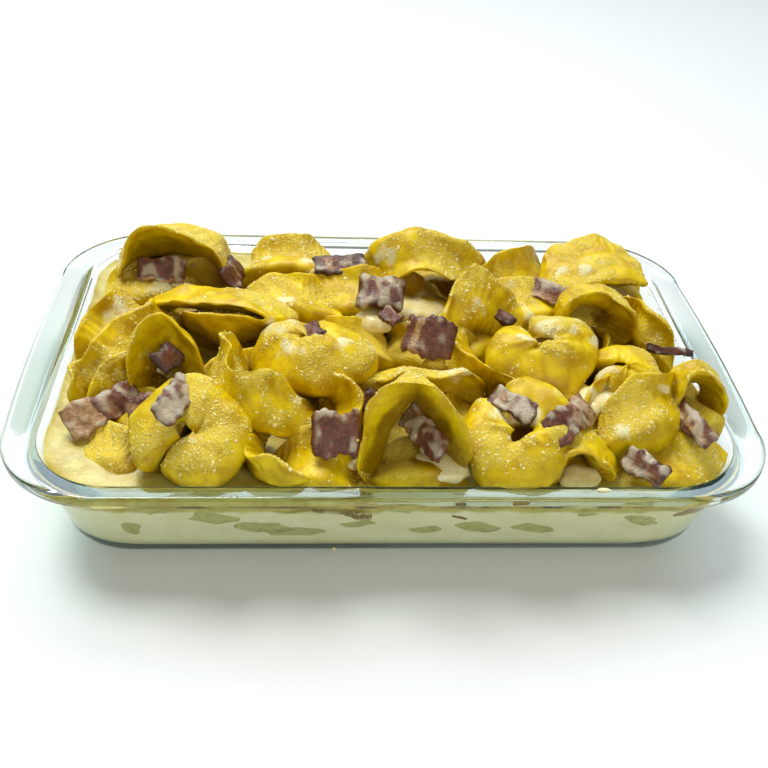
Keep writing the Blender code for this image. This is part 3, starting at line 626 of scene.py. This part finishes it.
# ================================================================ the dish and its cream
def rounded_rectangle(half_x, half_y, corner, bow=0.0):
    """Points of an outline, anticlockwise from the right end's front corner."""
    points = []
    for quarter in range(4):
        sign_x = (1, -1, -1, 1)[quarter]
        sign_y = (1, 1, -1, -1)[quarter]
        for k in range(CORNER_STEPS + 1):
            angle = math.pi / 2.0 * (quarter + k / CORNER_STEPS)
            x = sign_x * (half_x - corner) + corner * math.cos(angle)
            y = sign_y * (half_y - corner) + corner * math.sin(angle)
            points.append((x, y))
        start = points[-1]
        end_x = (-sign_x if quarter % 2 == 0 else sign_x) * (half_x - (corner if quarter % 2 == 0 else 0.0))
        end_y = sign_y * half_y if quarter % 2 == 0 else -sign_y * (half_y - corner)
        for k in range(1, SIDE_STEPS):
            t = k / SIDE_STEPS
            points.append((start[0] + (end_x - start[0]) * t, start[1] + (end_y - start[1]) * t))
    return [(x + math.copysign(bow, x) * max(0.0, 1.0 - (y / half_y) ** 2), y) for x, y in points]


def quarter(start, stop, count):
    """Sine and cosine, in even steps from one angle in degrees to another."""
    return [(math.sin(angle), math.cos(angle)) for angle in np.radians(np.linspace(start, stop, count))]


def inner_fillet(sine, cosine):
    """Height, inset and corner radius where the floor turns up into the wall."""
    height = BASE_THICK + INNER_FILLET * (1.0 - cosine)
    inset = WALL_DRAFT + INNER_FILLET * (1.0 - sine)
    return height, inset, INNER_CORNER - CORNER_DRAFT - FLOOR_TIGHTER * (1.0 - sine)


def dish_rings():
    """Outline rings from the middle of the underside, over the rim, to the inside's floor."""
    inner_x, inner_y = INNER_LENGTH / 2.0, INNER_WIDTH / 2.0
    rings = []

    def ring(height, inset, corner, reach_x=0.0, reach_y=0.0, bow=0.0, drop=0.0):
        outline = rounded_rectangle(inner_x - inset + reach_x, inner_y - inset + reach_y, corner, bow)
        points = [Vector((x, y, height)) for x, y in outline]
        for point in points:
            if abs(point.x) > inner_x + LIP_WIDTH:
                ends = min(1.0, max(0.0, (LIP_HALF - abs(point.y)) / (2.0 * MM)))
                point.z -= drop * ends * ends * (3.0 - 2.0 * ends)
        rings.append(points)

    top = DISH_HEIGHT
    rim_under = top - RIM_THICK
    # underside and outer wall, up to the rim
    ring(0.0, WALL_DRAFT + BASE_FILLET - WALL + UNDERSIDE_IN, INNER_CORNER - FOOT_TIGHTER - CORNER_DRAFT)
    for sine, cosine in quarter(10.0, 90.0, 9):
        inset = WALL_DRAFT - WALL + BASE_FILLET * (1.0 - sine)
        ring(BASE_FILLET * (1.0 - cosine), inset, INNER_CORNER - FOOT_TIGHTER + CORNER_DRAFT * sine)
    under_inset = WALL_DRAFT * RIM_THICK / top - WALL
    for share in np.linspace(0.1, 1.0, 10):
        height = BASE_FILLET + (rim_under - BASE_FILLET) * share
        inset = WALL_DRAFT - WALL + (under_inset - WALL_DRAFT + WALL) * share
        ring(height, inset, INNER_CORNER - CORNER_DRAFT + (WALL + CORNER_DRAFT) * share)
    # the rim, drawn out to a handle at each end, with rounded edges
    corner = INNER_CORNER + RIM_REACH
    bow = HANDLE_REACH * HANDLE_BOW
    reach = HANDLE_REACH - bow
    ring(rim_under + 0.1 * MM, 0.0, corner - 2.0 * MM, reach - 2.6 * MM, RIM_REACH - 2.0 * MM, bow)
    for sine, cosine in quarter(0.0, 90.0, 6):
        back = RIM_EDGE * (1.0 - sine)
        ring(rim_under + RIM_EDGE * (1.0 - cosine), 0.0, corner, reach - back, RIM_REACH - back, bow)
    for sine, cosine in quarter(90.0, 0.0, 6):
        back = RIM_EDGE * (1.0 - sine)
        ring(top - RIM_EDGE * (1.0 - cosine), 0.0, corner, reach - back, RIM_REACH - back, bow, LIP_DROP)
    ring(top, 0.0, corner - 1.0 * MM, reach - LIP_WIDTH + 0.3 * MM, RIM_REACH - 1.7 * MM, bow, LIP_DROP)
    ring(top, 0.0, corner - 1.0 * MM, reach - LIP_WIDTH - 0.3 * MM, RIM_REACH - 2.1 * MM, bow)
    for sine, cosine in quarter(0.0, 90.0, 7):
        wide = INNER_EDGE * (1.0 - sine)
        ring(top - RIM_ROUND * (1.0 - cosine), 0.0, INNER_CORNER + wide, wide, wide)
    # inner wall and floor
    for share in np.linspace(0.1, 0.9, 9):
        height = top - RIM_ROUND + (BASE_THICK + INNER_FILLET - top + RIM_ROUND) * share
        ring(height, WALL_DRAFT * share, INNER_CORNER - CORNER_DRAFT * share)
    for sine, cosine in quarter(90.0, 0.0, 10):
        ring(*inner_fillet(sine, cosine))
    return rings


def make_dish(material):
    mesh = solids_mesh([(*tube(np.array(dish_rings())), {})], ())
    return stand_for(link("clear_dish", mesh, material), "clear_glass", "glass_dish")


def sauce_height(x, y):
    swell = math.sin(x / 0.031 + 0.6) * math.cos(y / 0.026 - 0.4) + 0.5 * math.sin(x / 0.017 - y / 0.021)
    ripple = noise.noise(Vector((x, y, 0.3)) / (9.0 * MM)) * 0.35 * MM
    return SAUCE_LEVEL + SAUCE_SWELL * swell / 1.5 - SAUCE_FALL * x / (INNER_LENGTH / 2.0) + ripple


def wall_outline(share):
    """The dish's inside, from its straight wall's top (0) to its foot (1), a little into the glass."""
    inset = WALL_DRAFT * share - INTO_GLASS
    corner = INNER_CORNER - CORNER_DRAFT * share
    return rounded_rectangle(INNER_LENGTH / 2.0 - inset, INNER_WIDTH / 2.0 - inset, corner)


def make_cream(material):
    """The cream in the dish, standing a little higher where it wets the glass."""
    rings = []
    for sine, cosine in quarter(0.0, 90.0, 8):
        height, inset, corner = inner_fillet(sine, cosine)
        clear = inset - INTO_GLASS
        outline = rounded_rectangle(INNER_LENGTH / 2.0 - clear, INNER_WIDTH / 2.0 - clear, corner)
        rings.append([Vector((x, y, height - INTO_GLASS)) for x, y in outline])
    top = DISH_HEIGHT - RIM_ROUND
    bottom = BASE_THICK + INNER_FILLET
    high, low = wall_outline(0.0), wall_outline(1.0)
    edges = []
    for x, y in high:
        smear = noise.noise(Vector((x, y, 0.0)) / CREAM_EDGE_WAVE)
        edges.append(sauce_height(x, y) + CREAM_EDGE_RISE * (1.0 + 0.7 * smear))
    for rise in np.linspace(0.1, 1.0, 12):
        ring = []
        for (high_x, high_y), (low_x, low_y), edge in zip(high, low, edges):
            height = bottom + (edge - bottom) * rise
            share = (top - height) / (top - bottom)
            x, y = high_x + (low_x - high_x) * share, high_y + (low_y - high_y) * share
            ring.append(Vector((x, y, height)))
        rings.append(ring)
    rim = rings[-1]
    for share in CREAM_EDGE_SHARES + tuple(np.linspace(0.955, 0.02, 58)):
        ring = []
        for point in rim:
            x, y = point.x * share, point.y * share
            wet = (point.z - sauce_height(x, y)) * math.exp(-(1.0 - share) / 0.012)
            ring.append(Vector((x, y, sauce_height(x, y) + wet)))
        rings.append(ring)
    mesh = solids_mesh([(*tube(np.array(rings)), {})], ())
    return stand_for(link("cream", mesh, material), "cream", "cream_sauce")


# Pasta that presses against the glass below the cream: side of the dish (front, back,
# left or right), place along it, height from the rim, half its length and height, and tilt.
GLASS_SMEARS = [
    ("front", (-88, -22), (3.5, 6.0), 0), ("front", (-80, -12), (5.5, 1.6), 0),
    ("front", (-62, -15), (8.0, 4.6), 20), ("front", (-45, -22), (10.0, 4.5), 10),
    ("front", (-33, -26), (9.0, 3.4), -8), ("front", (1, -11), (4.0, 2.0), 0),
    ("front", (12, -24), (5.5, 1.6), 0), ("front", (30, -22), (8.5, 4.2), 15),
    ("front", (50, -23), (8.0, 3.4), 12), ("front", (86, -18), (7.5, 3.0), 25),
    ("front", (-12, -20), (6.0, 2.2), -10), ("front", (66, -14), (4.0, 1.4), 0),
    ("left", (-40, -20), (9.0, 4.0), 10), ("left", (5, -22), (10.0, 4.5), -12),
    ("left", (42, -17), (8.0, 3.0), 8), ("right", (-36, -21), (9.0, 3.6), -10),
    ("right", (8, -19), (8.0, 4.2), 14), ("right", (44, -23), (9.0, 3.0), 0),
    ("back", (-80, -20), (9.0, 4.0), 8), ("back", (-42, -23), (10.0, 4.6), -12),
    ("back", (-6, -18), (8.0, 3.2), 10), ("back", (34, -22), (10.0, 4.0), -6),
    ("back", (74, -19), (9.0, 4.4), 14),
]

# Tiny drops of cream on the inside of the right end, mm from the middle of the rim's plane.
WALL_SPLASHES = 34
SPLASH_ALONG = (-45.0, 62.0)
SPLASH_HEIGHT = (-5.0, -1.2)
SPLASH_IN = 0.6
SPLASH_SIZE = (0.2, 0.55)
SPLASH_SEED = 5

# Drops of cream on the rim and at the foot of the front wall: middle and half sizes.
DISH_DROPS = [((68.5, -82.6, 0.2), (2.2, 0.9, 0.5)), ((-20, -73.5, -36.6), (0.7, 0.5, 1.4))]


# ================================================================ materials
def add(tree, kind, settings=None, **values):
    """A node with its settings, its inputs given as numbers, colours or other nodes' outputs."""
    node = tree.nodes.new(kind)
    for key, value in (settings or {}).items():
        setattr(node, key, value)
    for key, value in values.items():
        fill(tree, node.inputs[key.replace("_", " ")], value)
    return node


def fill(tree, socket, value):
    if isinstance(value, bpy.types.NodeSocket):
        tree.links.new(value, socket)
    else:
        socket.default_value = value


def calc(tree, operation, *values):
    node = tree.nodes.new("ShaderNodeMath")
    node.operation = operation
    node.use_clamp = operation != "MULTIPLY_ADD"
    for socket, value in zip(node.inputs, values):
        fill(tree, socket, value)
    return node.outputs[0]


def mix_colours(tree, share, first, second):
    node = tree.nodes.new("ShaderNodeMix")
    node.data_type = "RGBA"
    for socket, value in zip((node.inputs[0], node.inputs[6], node.inputs[7]), (share, first, second)):
        fill(tree, socket, value)
    return node.outputs[2]


def mix_values(tree, share, first, second):
    node = tree.nodes.new("ShaderNodeMix")
    for socket, value in zip(node.inputs[:1] + node.inputs[2:4], (share, first, second)):
        fill(tree, socket, value)
    return node.outputs[0]


def named_value(tree, name):
    node = tree.nodes.new("ShaderNodeAttribute")
    node.attribute_name = name
    return node.outputs["Fac"]


def millimetres(tree):
    """Object coordinates in mm, so that patterns are sized in mm."""
    coords = tree.nodes.new("ShaderNodeTexCoord")
    scaled = add(tree, "ShaderNodeVectorMath", {"operation": "SCALE"}, Vector=coords.outputs["Object"],
                 Scale=1.0 / MM)
    return scaled.outputs[0]


def shader_group(name, inputs, output, output_kind):
    """An empty node group, with its input and output nodes."""
    tree = bpy.data.node_groups.new(name, "ShaderNodeTree")
    for socket, kind in inputs:
        tree.interface.new_socket(socket, in_out="INPUT", socket_type=kind)
    tree.interface.new_socket(output, in_out="OUTPUT", socket_type=output_kind)
    return tree, tree.nodes.new("NodeGroupInput").outputs, tree.nodes.new("NodeGroupOutput").inputs


FLOAT, VECTOR, COLOUR = "NodeSocketFloat", "NodeSocketVector", "NodeSocketColor"


def patchy_edge_group():
    """A mask whose edge is broken up by a pattern of a given size."""
    inputs = (("Mask", FLOAT), ("Vector", VECTOR), ("Fineness", FLOAT), ("Raggedness", FLOAT),
              ("Softness", FLOAT))
    tree, given, result = shader_group("patchy edge", inputs, "Mask", FLOAT)
    pattern = add(tree, "ShaderNodeTexNoise", Vector=given["Vector"], Scale=given["Fineness"], Detail=3.0)
    shifted = calc(tree, "MULTIPLY_ADD", pattern.outputs["Fac"], given["Raggedness"], given["Mask"])
    level = calc(tree, "MULTIPLY_ADD", given["Raggedness"], -0.5, shifted)
    ramp = add(tree, "ShaderNodeMapRange", {"interpolation_type": "SMOOTHSTEP"}, Value=level)
    fill(tree, ramp.inputs["From Min"], calc(tree, "SUBTRACT", 0.5, given["Softness"]))
    fill(tree, ramp.inputs["From Max"], calc(tree, "ADD", 0.5, given["Softness"]))
    fill(tree, result["Mask"], ramp.outputs["Result"])
    return tree


def mottle_group():
    """Two colours wandering into each other, with a finer grain on top."""
    inputs = (("Vector", VECTOR), ("Fineness", FLOAT), ("Dark", COLOUR), ("Light", COLOUR))
    tree, given, result = shader_group("mottle", inputs, "Colour", COLOUR)
    broad = add(tree, "ShaderNodeTexNoise", Vector=given["Vector"], Scale=given["Fineness"],
                Detail=4.0, Roughness=0.6)
    ramp = add(tree, "ShaderNodeMapRange", {"interpolation_type": "SMOOTHSTEP"}, Value=broad.outputs["Fac"])
    ramp.inputs["From Min"].default_value = 0.3
    ramp.inputs["From Max"].default_value = 0.7
    fill(tree, result["Colour"], mix_colours(tree, ramp.outputs["Result"], given["Dark"], given["Light"]))
    return tree


def grain_group():
    """A height made of fine bumps, between 0 and 1."""
    inputs = (("Vector", VECTOR), ("Fineness", FLOAT))
    tree, given, result = shader_group("grain", inputs, "Height", FLOAT)
    fine = add(tree, "ShaderNodeTexNoise", Vector=given["Vector"], Scale=given["Fineness"],
               Detail=3.0, Roughness=0.65)
    fill(tree, result["Height"], fine.outputs["Fac"])
    return tree


def new_material(name):
    material = bpy.data.materials.new(name)
    material.use_nodes = True
    tree = material.node_tree
    tree.nodes.clear()
    return material, tree, tree.nodes.new("ShaderNodeOutputMaterial")


class Food:
    """A food's material: patterns sized in mm, laid over each other on one surface."""

    def __init__(self, name, groups):
        self.material, self.tree, self.out = new_material(name)
        self.groups = groups
        self.place = millimetres(self.tree)

    def pattern(self, kind, **values):
        node = self.tree.nodes.new("ShaderNodeGroup")
        node.node_tree = self.groups[kind]
        for key, value in {"Vector": self.place, **values}.items():
            fill(self.tree, node.inputs[key], value)
        return node.outputs[0]

    def mottled(self, fineness, dark, light):
        return self.pattern("mottle", Fineness=fineness, Dark=dark, Light=light)

    def broken(self, mask, fineness, raggedness, softness):
        """A mask with a broken edge; a name stands for the mesh's value of that name."""
        if isinstance(mask, str):
            mask = named_value(self.tree, mask)
        return self.pattern("patchy edge", Mask=mask, Fineness=fineness, Raggedness=raggedness,
                            Softness=softness)

    def over(self, under, colour, share, strength):
        return mix_colours(self.tree, calc(self.tree, "MULTIPLY", share, strength), under, colour)

    def bumps(self, height, depth):
        return add(self.tree, "ShaderNodeBump", Height=height, Distance=depth, Strength=1.0).outputs["Normal"]

    def surface(self, **values):
        shader = add(self.tree, "ShaderNodeBsdfPrincipled", **values)
        self.tree.links.new(shader.outputs[0], self.out.inputs["Surface"])
        return self.material


def pasta_material(groups):
    """Egg dough: saturated yellow, painted darker as shade where it lies low, paler and matt where cheese
    dusts it, creamy where sauce lies.
    """
    food = Food("egg pasta", groups)
    tree = food.tree
    dough = food.mottled(0.13, DOUGH_DEEP, DOUGH_BRIGHT)
    # Painted shade: olive-brown where the dough lies low between the pieces.
    dough = food.over(dough, PAINTED_SHADE_COLOUR, food.broken("painted_shade", 0.25, 0.35, 0.5), 0.75)
    cheesy = calc(tree, "MULTIPLY", named_value(tree, "cheese"), 0.8)
    dusted = food.broken(cheesy, 1.5, 1.5, 0.22)
    colour = food.over(dough, CHEESE_DUST, dusted, 0.6)
    colour = food.over(colour, CREAM_THIN, food.broken("cream", 0.8, 0.9, 0.35), 0.8)
    height = calc(tree, "MULTIPLY", food.pattern("grain", Fineness=1.3), mix_values(tree, dusted, 0.25, 0.9))
    return food.surface(
        Base_Color=colour, Roughness=mix_values(tree, dusted, 0.34, 0.5), Specular_IOR_Level=0.3,
        Normal=food.bumps(height, 0.8 * MM),
        Subsurface_Weight=0.2, Subsurface_Radius=(1.0, 0.7, 0.05), Subsurface_Scale=2.2 * MM)


def cream_material(groups):
    """Cooked cream: yellow on top, paler and greyer down the glass."""
    food = Food("cream", groups)
    tree = food.tree
    top = food.mottled(0.12, CREAM_YELLOW, CREAM_PALE)
    deep = food.mottled(0.07, CREAM_DEEP_DARK, CREAM_DEEP)
    height = add(tree, "ShaderNodeSeparateXYZ", Vector=food.place).outputs["Z"]
    wander = add(tree, "ShaderNodeTexNoise", Vector=food.place, Scale=0.11, Detail=2.0).outputs["Fac"]
    depth = add(tree, "ShaderNodeMapRange", Value=calc(tree, "MULTIPLY_ADD", wander, 6.0, height))
    depth.inputs["From Min"].default_value, depth.inputs["From Max"].default_value = CREAM_TURNS_YELLOW
    return food.surface(
        Base_Color=mix_colours(tree, depth.outputs["Result"], deep, top), Roughness=0.3,
        Normal=food.bumps(food.pattern("grain", Fineness=0.6), 0.25 * MM),
        Subsurface_Weight=0.15, Subsurface_Radius=(1.0, 0.8, 0.4), Subsurface_Scale=2.0 * MM)


def bacon_material(groups):
    """Boiled and fried slices: brown lean, pale fat, dark fried edges, cream in patches."""
    food = Food("cooked bacon", groups)
    tree = food.tree
    lean = food.mottled(0.45, LEAN_DARK, LEAN_LIGHT)
    fat = food.mottled(0.5, FAT_DARK, FAT_LIGHT)
    colour = mix_colours(tree, food.broken("fat", 0.3, 0.4, 0.3), lean, fat)
    singed = calc(tree, "MULTIPLY", named_value(tree, "fried"), named_value(tree, "edge"))
    colour = food.over(colour, FRIED_DARK, food.broken(singed, 0.5, 0.6, 0.25), 0.85)
    colour = food.over(colour, BACON_CREAM, food.broken("cream", 0.6, 0.5, 0.42), 0.62)
    return food.surface(
        Base_Color=colour, Roughness=0.3, Normal=food.bumps(food.pattern("grain", Fineness=0.9), 0.6 * MM),
        Subsurface_Weight=0.12, Subsurface_Radius=(1.0, 0.35, 0.25), Subsurface_Scale=1.5 * MM)


def plain_food_material(name, groups, dark, light, roughness, fineness):
    food = Food(name, groups)
    return food.surface(Base_Color=food.mottled(fineness, dark, light), Roughness=roughness)


def glass_material():
    """Clear soda glass, faintly blue-green through its thickness; light passes on as shadow rays."""
    material, tree, out = new_material("clear glass")
    glass = add(tree, "ShaderNodeBsdfPrincipled", Base_Color=(1.0, 1.0, 1.0, 1.0), Roughness=0.0, IOR=1.47,
                Transmission_Weight=1.0)
    clear = add(tree, "ShaderNodeBsdfTransparent", Color=(0.93, 0.97, 0.95, 1.0))
    rays = tree.nodes.new("ShaderNodeLightPath")
    passing = calc(tree, "MAXIMUM", rays.outputs["Is Shadow Ray"], rays.outputs["Is Diffuse Ray"])
    mixed = add(tree, "ShaderNodeMixShader", Fac=passing)
    tree.links.new(glass.outputs[0], mixed.inputs[1])
    tree.links.new(clear.outputs[0], mixed.inputs[2])
    tree.links.new(mixed.outputs[0], out.inputs["Surface"])
    tint = add(tree, "ShaderNodeVolumeAbsorption", Color=GLASS_TINT, Density=GLASS_TINT_DENSITY)
    tree.links.new(tint.outputs[0], out.inputs["Volume"])
    return material


# ================================================================ what is scattered over it
def scatter_tree():
    """Small rounded crumbs over a mesh, most where its cheese value is high."""
    tree = bpy.data.node_groups.new("scattered crumbs", "GeometryNodeTree")
    tree.interface.new_socket("Geometry", in_out="INPUT", socket_type="NodeSocketGeometry")
    for name, kind in (
            ("Per square metre", "Float"), ("Smallest", "Vector"), ("Largest", "Vector"), ("Sunk", "Float"),
            ("Seed", "Int"), ("Roundness", "Int"), ("Material", "Material")):
        tree.interface.new_socket(name, in_out="INPUT", socket_type="NodeSocket" + kind)
    tree.interface.new_socket("Geometry", in_out="OUTPUT", socket_type="NodeSocketGeometry")
    given = tree.nodes.new("NodeGroupInput").outputs
    where = add(tree, "GeometryNodeInputNamedAttribute", {"data_type": "FLOAT"}, Name="cheese")
    wanted = tree.nodes.new("ShaderNodeMath")
    wanted.operation = "MULTIPLY"
    fill(tree, wanted.inputs[0], where.outputs["Attribute"])
    fill(tree, wanted.inputs[1], given["Per square metre"])
    points = add(tree, "GeometryNodeDistributePointsOnFaces", Mesh=given["Geometry"],
                 Density=wanted.outputs[0], Seed=given["Seed"])
    ball = add(tree, "GeometryNodeMeshIcoSphere", Radius=0.5, Subdivisions=given["Roundness"])
    size = add(tree, "FunctionNodeRandomValue", {"data_type": "FLOAT_VECTOR"}, Min=given["Smallest"],
               Max=given["Largest"], Seed=given["Seed"])
    turn = add(tree, "FunctionNodeRandomValue", {"data_type": "FLOAT"}, Seed=given["Seed"])
    turn.inputs[3].default_value = 2.0 * math.pi
    about = add(tree, "ShaderNodeCombineXYZ", Z=turn.outputs[1])
    spin = add(tree, "FunctionNodeEulerToRotation", Euler=about.outputs[0])
    facing = add(tree, "FunctionNodeRotateRotation", {"rotation_space": "LOCAL"},
                 Rotation=points.outputs["Rotation"], Rotate_By=spin.outputs[0])
    sunk = add(tree, "ShaderNodeVectorMath", {"operation": "SCALE"}, Vector=points.outputs["Normal"],
               Scale=given["Sunk"])
    set_in = add(tree, "GeometryNodeSetPosition", Geometry=points.outputs["Points"], Offset=sunk.outputs[0])
    crumbs = add(tree, "GeometryNodeInstanceOnPoints", Points=set_in.outputs[0],
                 Instance=ball.outputs["Mesh"], Rotation=facing.outputs[0], Scale=size.outputs[0])
    real = add(tree, "GeometryNodeRealizeInstances", Geometry=crumbs.outputs[0])
    finished = add(tree, "GeometryNodeSetMaterial", Geometry=real.outputs[0], Material=given["Material"])
    tree.links.new(finished.outputs[0], tree.nodes.new("NodeGroupOutput").inputs[0])
    return tree


def scatter(tree, name, solids, slot, inputs):
    """One piece of crumbs over the solids; the modifier's result is kept as a plain mesh."""
    base = bpy.data.objects.new("scatter_base", solids_mesh(solids, ("cheese",)))
    bpy.context.collection.objects.link(base)
    modifier = base.modifiers.new("crumbs", "NODES")
    modifier.node_group = tree
    for item in tree.interface.items_tree:
        if item.in_out == "INPUT" and item.name in inputs:
            modifier[item.identifier] = inputs[item.name]
    seen = base.evaluated_get(bpy.context.evaluated_depsgraph_get())
    mesh = bpy.data.meshes.new_from_object(seen)
    old = base.data
    bpy.data.objects.remove(base)
    bpy.data.meshes.remove(old)
    return stand_for(link(name, mesh, inputs["Material"]), slot)


def scatter_all(solids, materials):
    tree = scatter_tree()
    for name, slot, density, smallest, largest, sunk, seed, roundness in CRUMBS:
        scatter(tree, name, solids, slot, {
            "Per square metre": density, "Smallest": tuple(size * MM for size in smallest),
            "Largest": tuple(size * MM for size in largest), "Sunk": sunk * MM, "Seed": seed,
            "Roundness": roundness, "Material": materials[name]})


def pebble(half_sizes, seed, roughness):
    """A lumpy ball of the given half sizes, as a grid round its long axis."""
    steps, count = 20, 28
    polar = np.linspace(0.02, math.pi - 0.02, steps)[:, None]
    turn = 2.0 * math.pi * np.arange(count) / count
    along = np.cos(polar) * np.ones_like(turn)
    ball = np.stack([along, np.sin(polar) * np.cos(turn), np.sin(polar) * np.sin(turn)], axis=-1)
    ball = ball * np.array(half_sizes)
    return ball + np.array(roughness) * grid_noise(ball, 5.0, seed)


def make_smears(material):
    """Flat sides of sunken pasta that press against the glass."""
    solids = []
    headings = {"front": 0.0, "right": 90.0, "back": 180.0, "left": -90.0}
    for side, (along, height), (half_long, half_high), tilt in GLASS_SMEARS:
        lying = pebble((half_long, SMEAR_THICK, half_high), (along, height, tilt), (4.0, 0.3, 2.2))
        lying = lying @ np.array(Matrix.Rotation(math.radians(tilt), 3, "Y")).T
        ends = side in ("left", "right")
        share = (height + RIM_ROUND / MM) / ((BASE_THICK + INNER_FILLET - DISH_HEIGHT + RIM_ROUND) / MM)
        out = (INNER_LENGTH if ends else INNER_WIDTH) / 2.0 / MM - WALL_DRAFT / MM * share
        lying = lying + np.array((along, -out, height))
        turned = lying @ np.array(Matrix.Rotation(math.radians(headings[side]), 3, "Z")).T
        solids.append(tube_solid(kept_in_dish(turned, 2.0 * INTO_GLASS), {}))
    return stand_for(link("pasta_at_the_glass", solids_mesh(solids, ()), material), "egg_pasta")


def make_puddles(material):
    """Cream lying between the pieces, and the drops that ran onto the dish."""
    solids = []
    for middle, half_sizes in CREAM_PUDDLES:
        puddle = pebble(half_sizes, middle, (1.5, 1.5, 0.6)) + np.array(middle)
        solids.append(tube_solid(kept_in_dish(puddle), {}))
    dice = np.random.default_rng(SPLASH_SEED)
    for _ in range(WALL_SPLASHES):
        along_wall, height = dice.uniform(*SPLASH_ALONG), dice.uniform(*SPLASH_HEIGHT)
        middle = np.array((INNER_LENGTH / 2.0 / MM - SPLASH_IN, along_wall, height))
        splash = pebble(dice.uniform(*SPLASH_SIZE, 3), middle, (0.1, 0.1, 0.1)) + middle
        solids.append(tube_solid(splash, {}))
    for middle, half_sizes in DISH_DROPS:
        solids.append(tube_solid(pebble(half_sizes, middle, (0.3, 0.2, 0.1)) + np.array(middle), {}))
    return stand_for(link("cream_puddles", solids_mesh(solids, ()), material), "cream")


# ================================================================ floor, light and camera
def make_stage():
    bpy.ops.mesh.primitive_plane_add(size=FLOOR_SIZE, location=(0.0, 0.0, 0.0))
    floor = bpy.context.active_object
    floor.name = "floor"
    material, tree, out = new_material("pale floor")
    shader = add(tree, "ShaderNodeBsdfPrincipled", Base_Color=FLOOR_COLOUR, Roughness=0.9)
    tree.links.new(shader.outputs[0], out.inputs["Surface"])
    floor.data.materials.append(material)


def make_light():
    """A room that is darker towards the floor, with a cool window behind the dish and soft boxes."""
    world = bpy.data.worlds.new("soft room")
    bpy.context.scene.world = world
    world.use_nodes = True
    tree = world.node_tree
    tree.nodes.clear()
    coords = tree.nodes.new("ShaderNodeTexCoord")
    facing = add(tree, "ShaderNodeSeparateXYZ", Vector=coords.outputs["Generated"]).outputs
    shade = add(tree, "ShaderNodeMapRange", {"interpolation_type": "SMOOTHSTEP"}, Value=facing["Z"])
    shade.inputs["From Min"].default_value, shade.inputs["From Max"].default_value = ROOM_FADE
    colour = mix_colours(tree, shade.outputs["Result"], ROOM_LOW, ROOM_HIGH)
    above = calc(tree, "GREATER_THAN", facing["Z"], WINDOW_LOW)
    tall = calc(tree, "MULTIPLY", above, calc(tree, "LESS_THAN", facing["Z"], WINDOW_HIGH))
    wide = calc(tree, "GREATER_THAN", facing["Y"], WINDOW_BACK)
    colour = mix_colours(tree, calc(tree, "MULTIPLY", tall, wide), colour, WINDOW_LIGHT)
    sky = add(tree, "ShaderNodeBackground", Color=colour, Strength=ROOM_STRENGTH)
    tree.links.new(sky.outputs[0], tree.nodes.new("ShaderNodeOutputWorld").inputs["Surface"])
    for name, place, size, power in SOFT_BOXES:
        light = bpy.data.lights.new(name, "AREA")
        light.shape = "DISK"
        light.size = size
        light.energy = power
        lamp = bpy.data.objects.new(name, light)
        lamp.location = place
        lamp.rotation_euler = (Vector((0.0, 0.0, 0.03)) - Vector(place)).to_track_quat("-Z", "Y").to_euler()
        bpy.context.collection.objects.link(lamp)


def make_camera():
    data = bpy.data.cameras.new("camera")
    data.lens = CAMERA_LENS
    data.sensor_width = CAMERA_SENSOR
    data.shift_y = CAMERA_SHIFT
    camera = bpy.data.objects.new("camera", data)
    place = Matrix.Translation(CAMERA_PLACE)
    for axis, angle in CAMERA_TURNS:
        place = place @ Matrix.Rotation(math.radians(angle), 4, axis)
    camera.matrix_world = place
    bpy.context.collection.objects.link(camera)
    bpy.context.scene.camera = camera


# ================================================================ the whole
def main():
    noise.seed_set(UNEVEN_SEED)
    groups = {"patchy edge": patchy_edge_group(), "mottle": mottle_group(), "grain": grain_group()}
    pasta = pasta_material(groups)
    bacon = bacon_material(groups)
    make_dish(glass_material())
    make_cream(cream_material(groups))
    make_smears(plain_food_material("pasta at the glass", groups, SMEAR_DARK, SMEAR_LIGHT, 0.5, 0.3))
    droplet = plain_food_material("cream droplet", groups, DROP_DARK, DROP_LIGHT, 0.25, 0.2)
    make_puddles(droplet)
    solids = make_pasta(pasta) + make_bacon(bacon)
    scatter_all(solids, {
        "grated_cheese": plain_food_material("grated cheese", groups, CHEESE_DARK, CHEESE_LIGHT, 0.5, 0.2),
        "cream_droplets": droplet,
        "pepper_specks": plain_food_material("ground pepper", groups, PEPPER_DARK, PEPPER_LIGHT, 0.6, 0.5)})
    make_stage()
    make_light()
    make_camera()
    bpy.context.scene.view_settings.view_transform = "Standard"


main()
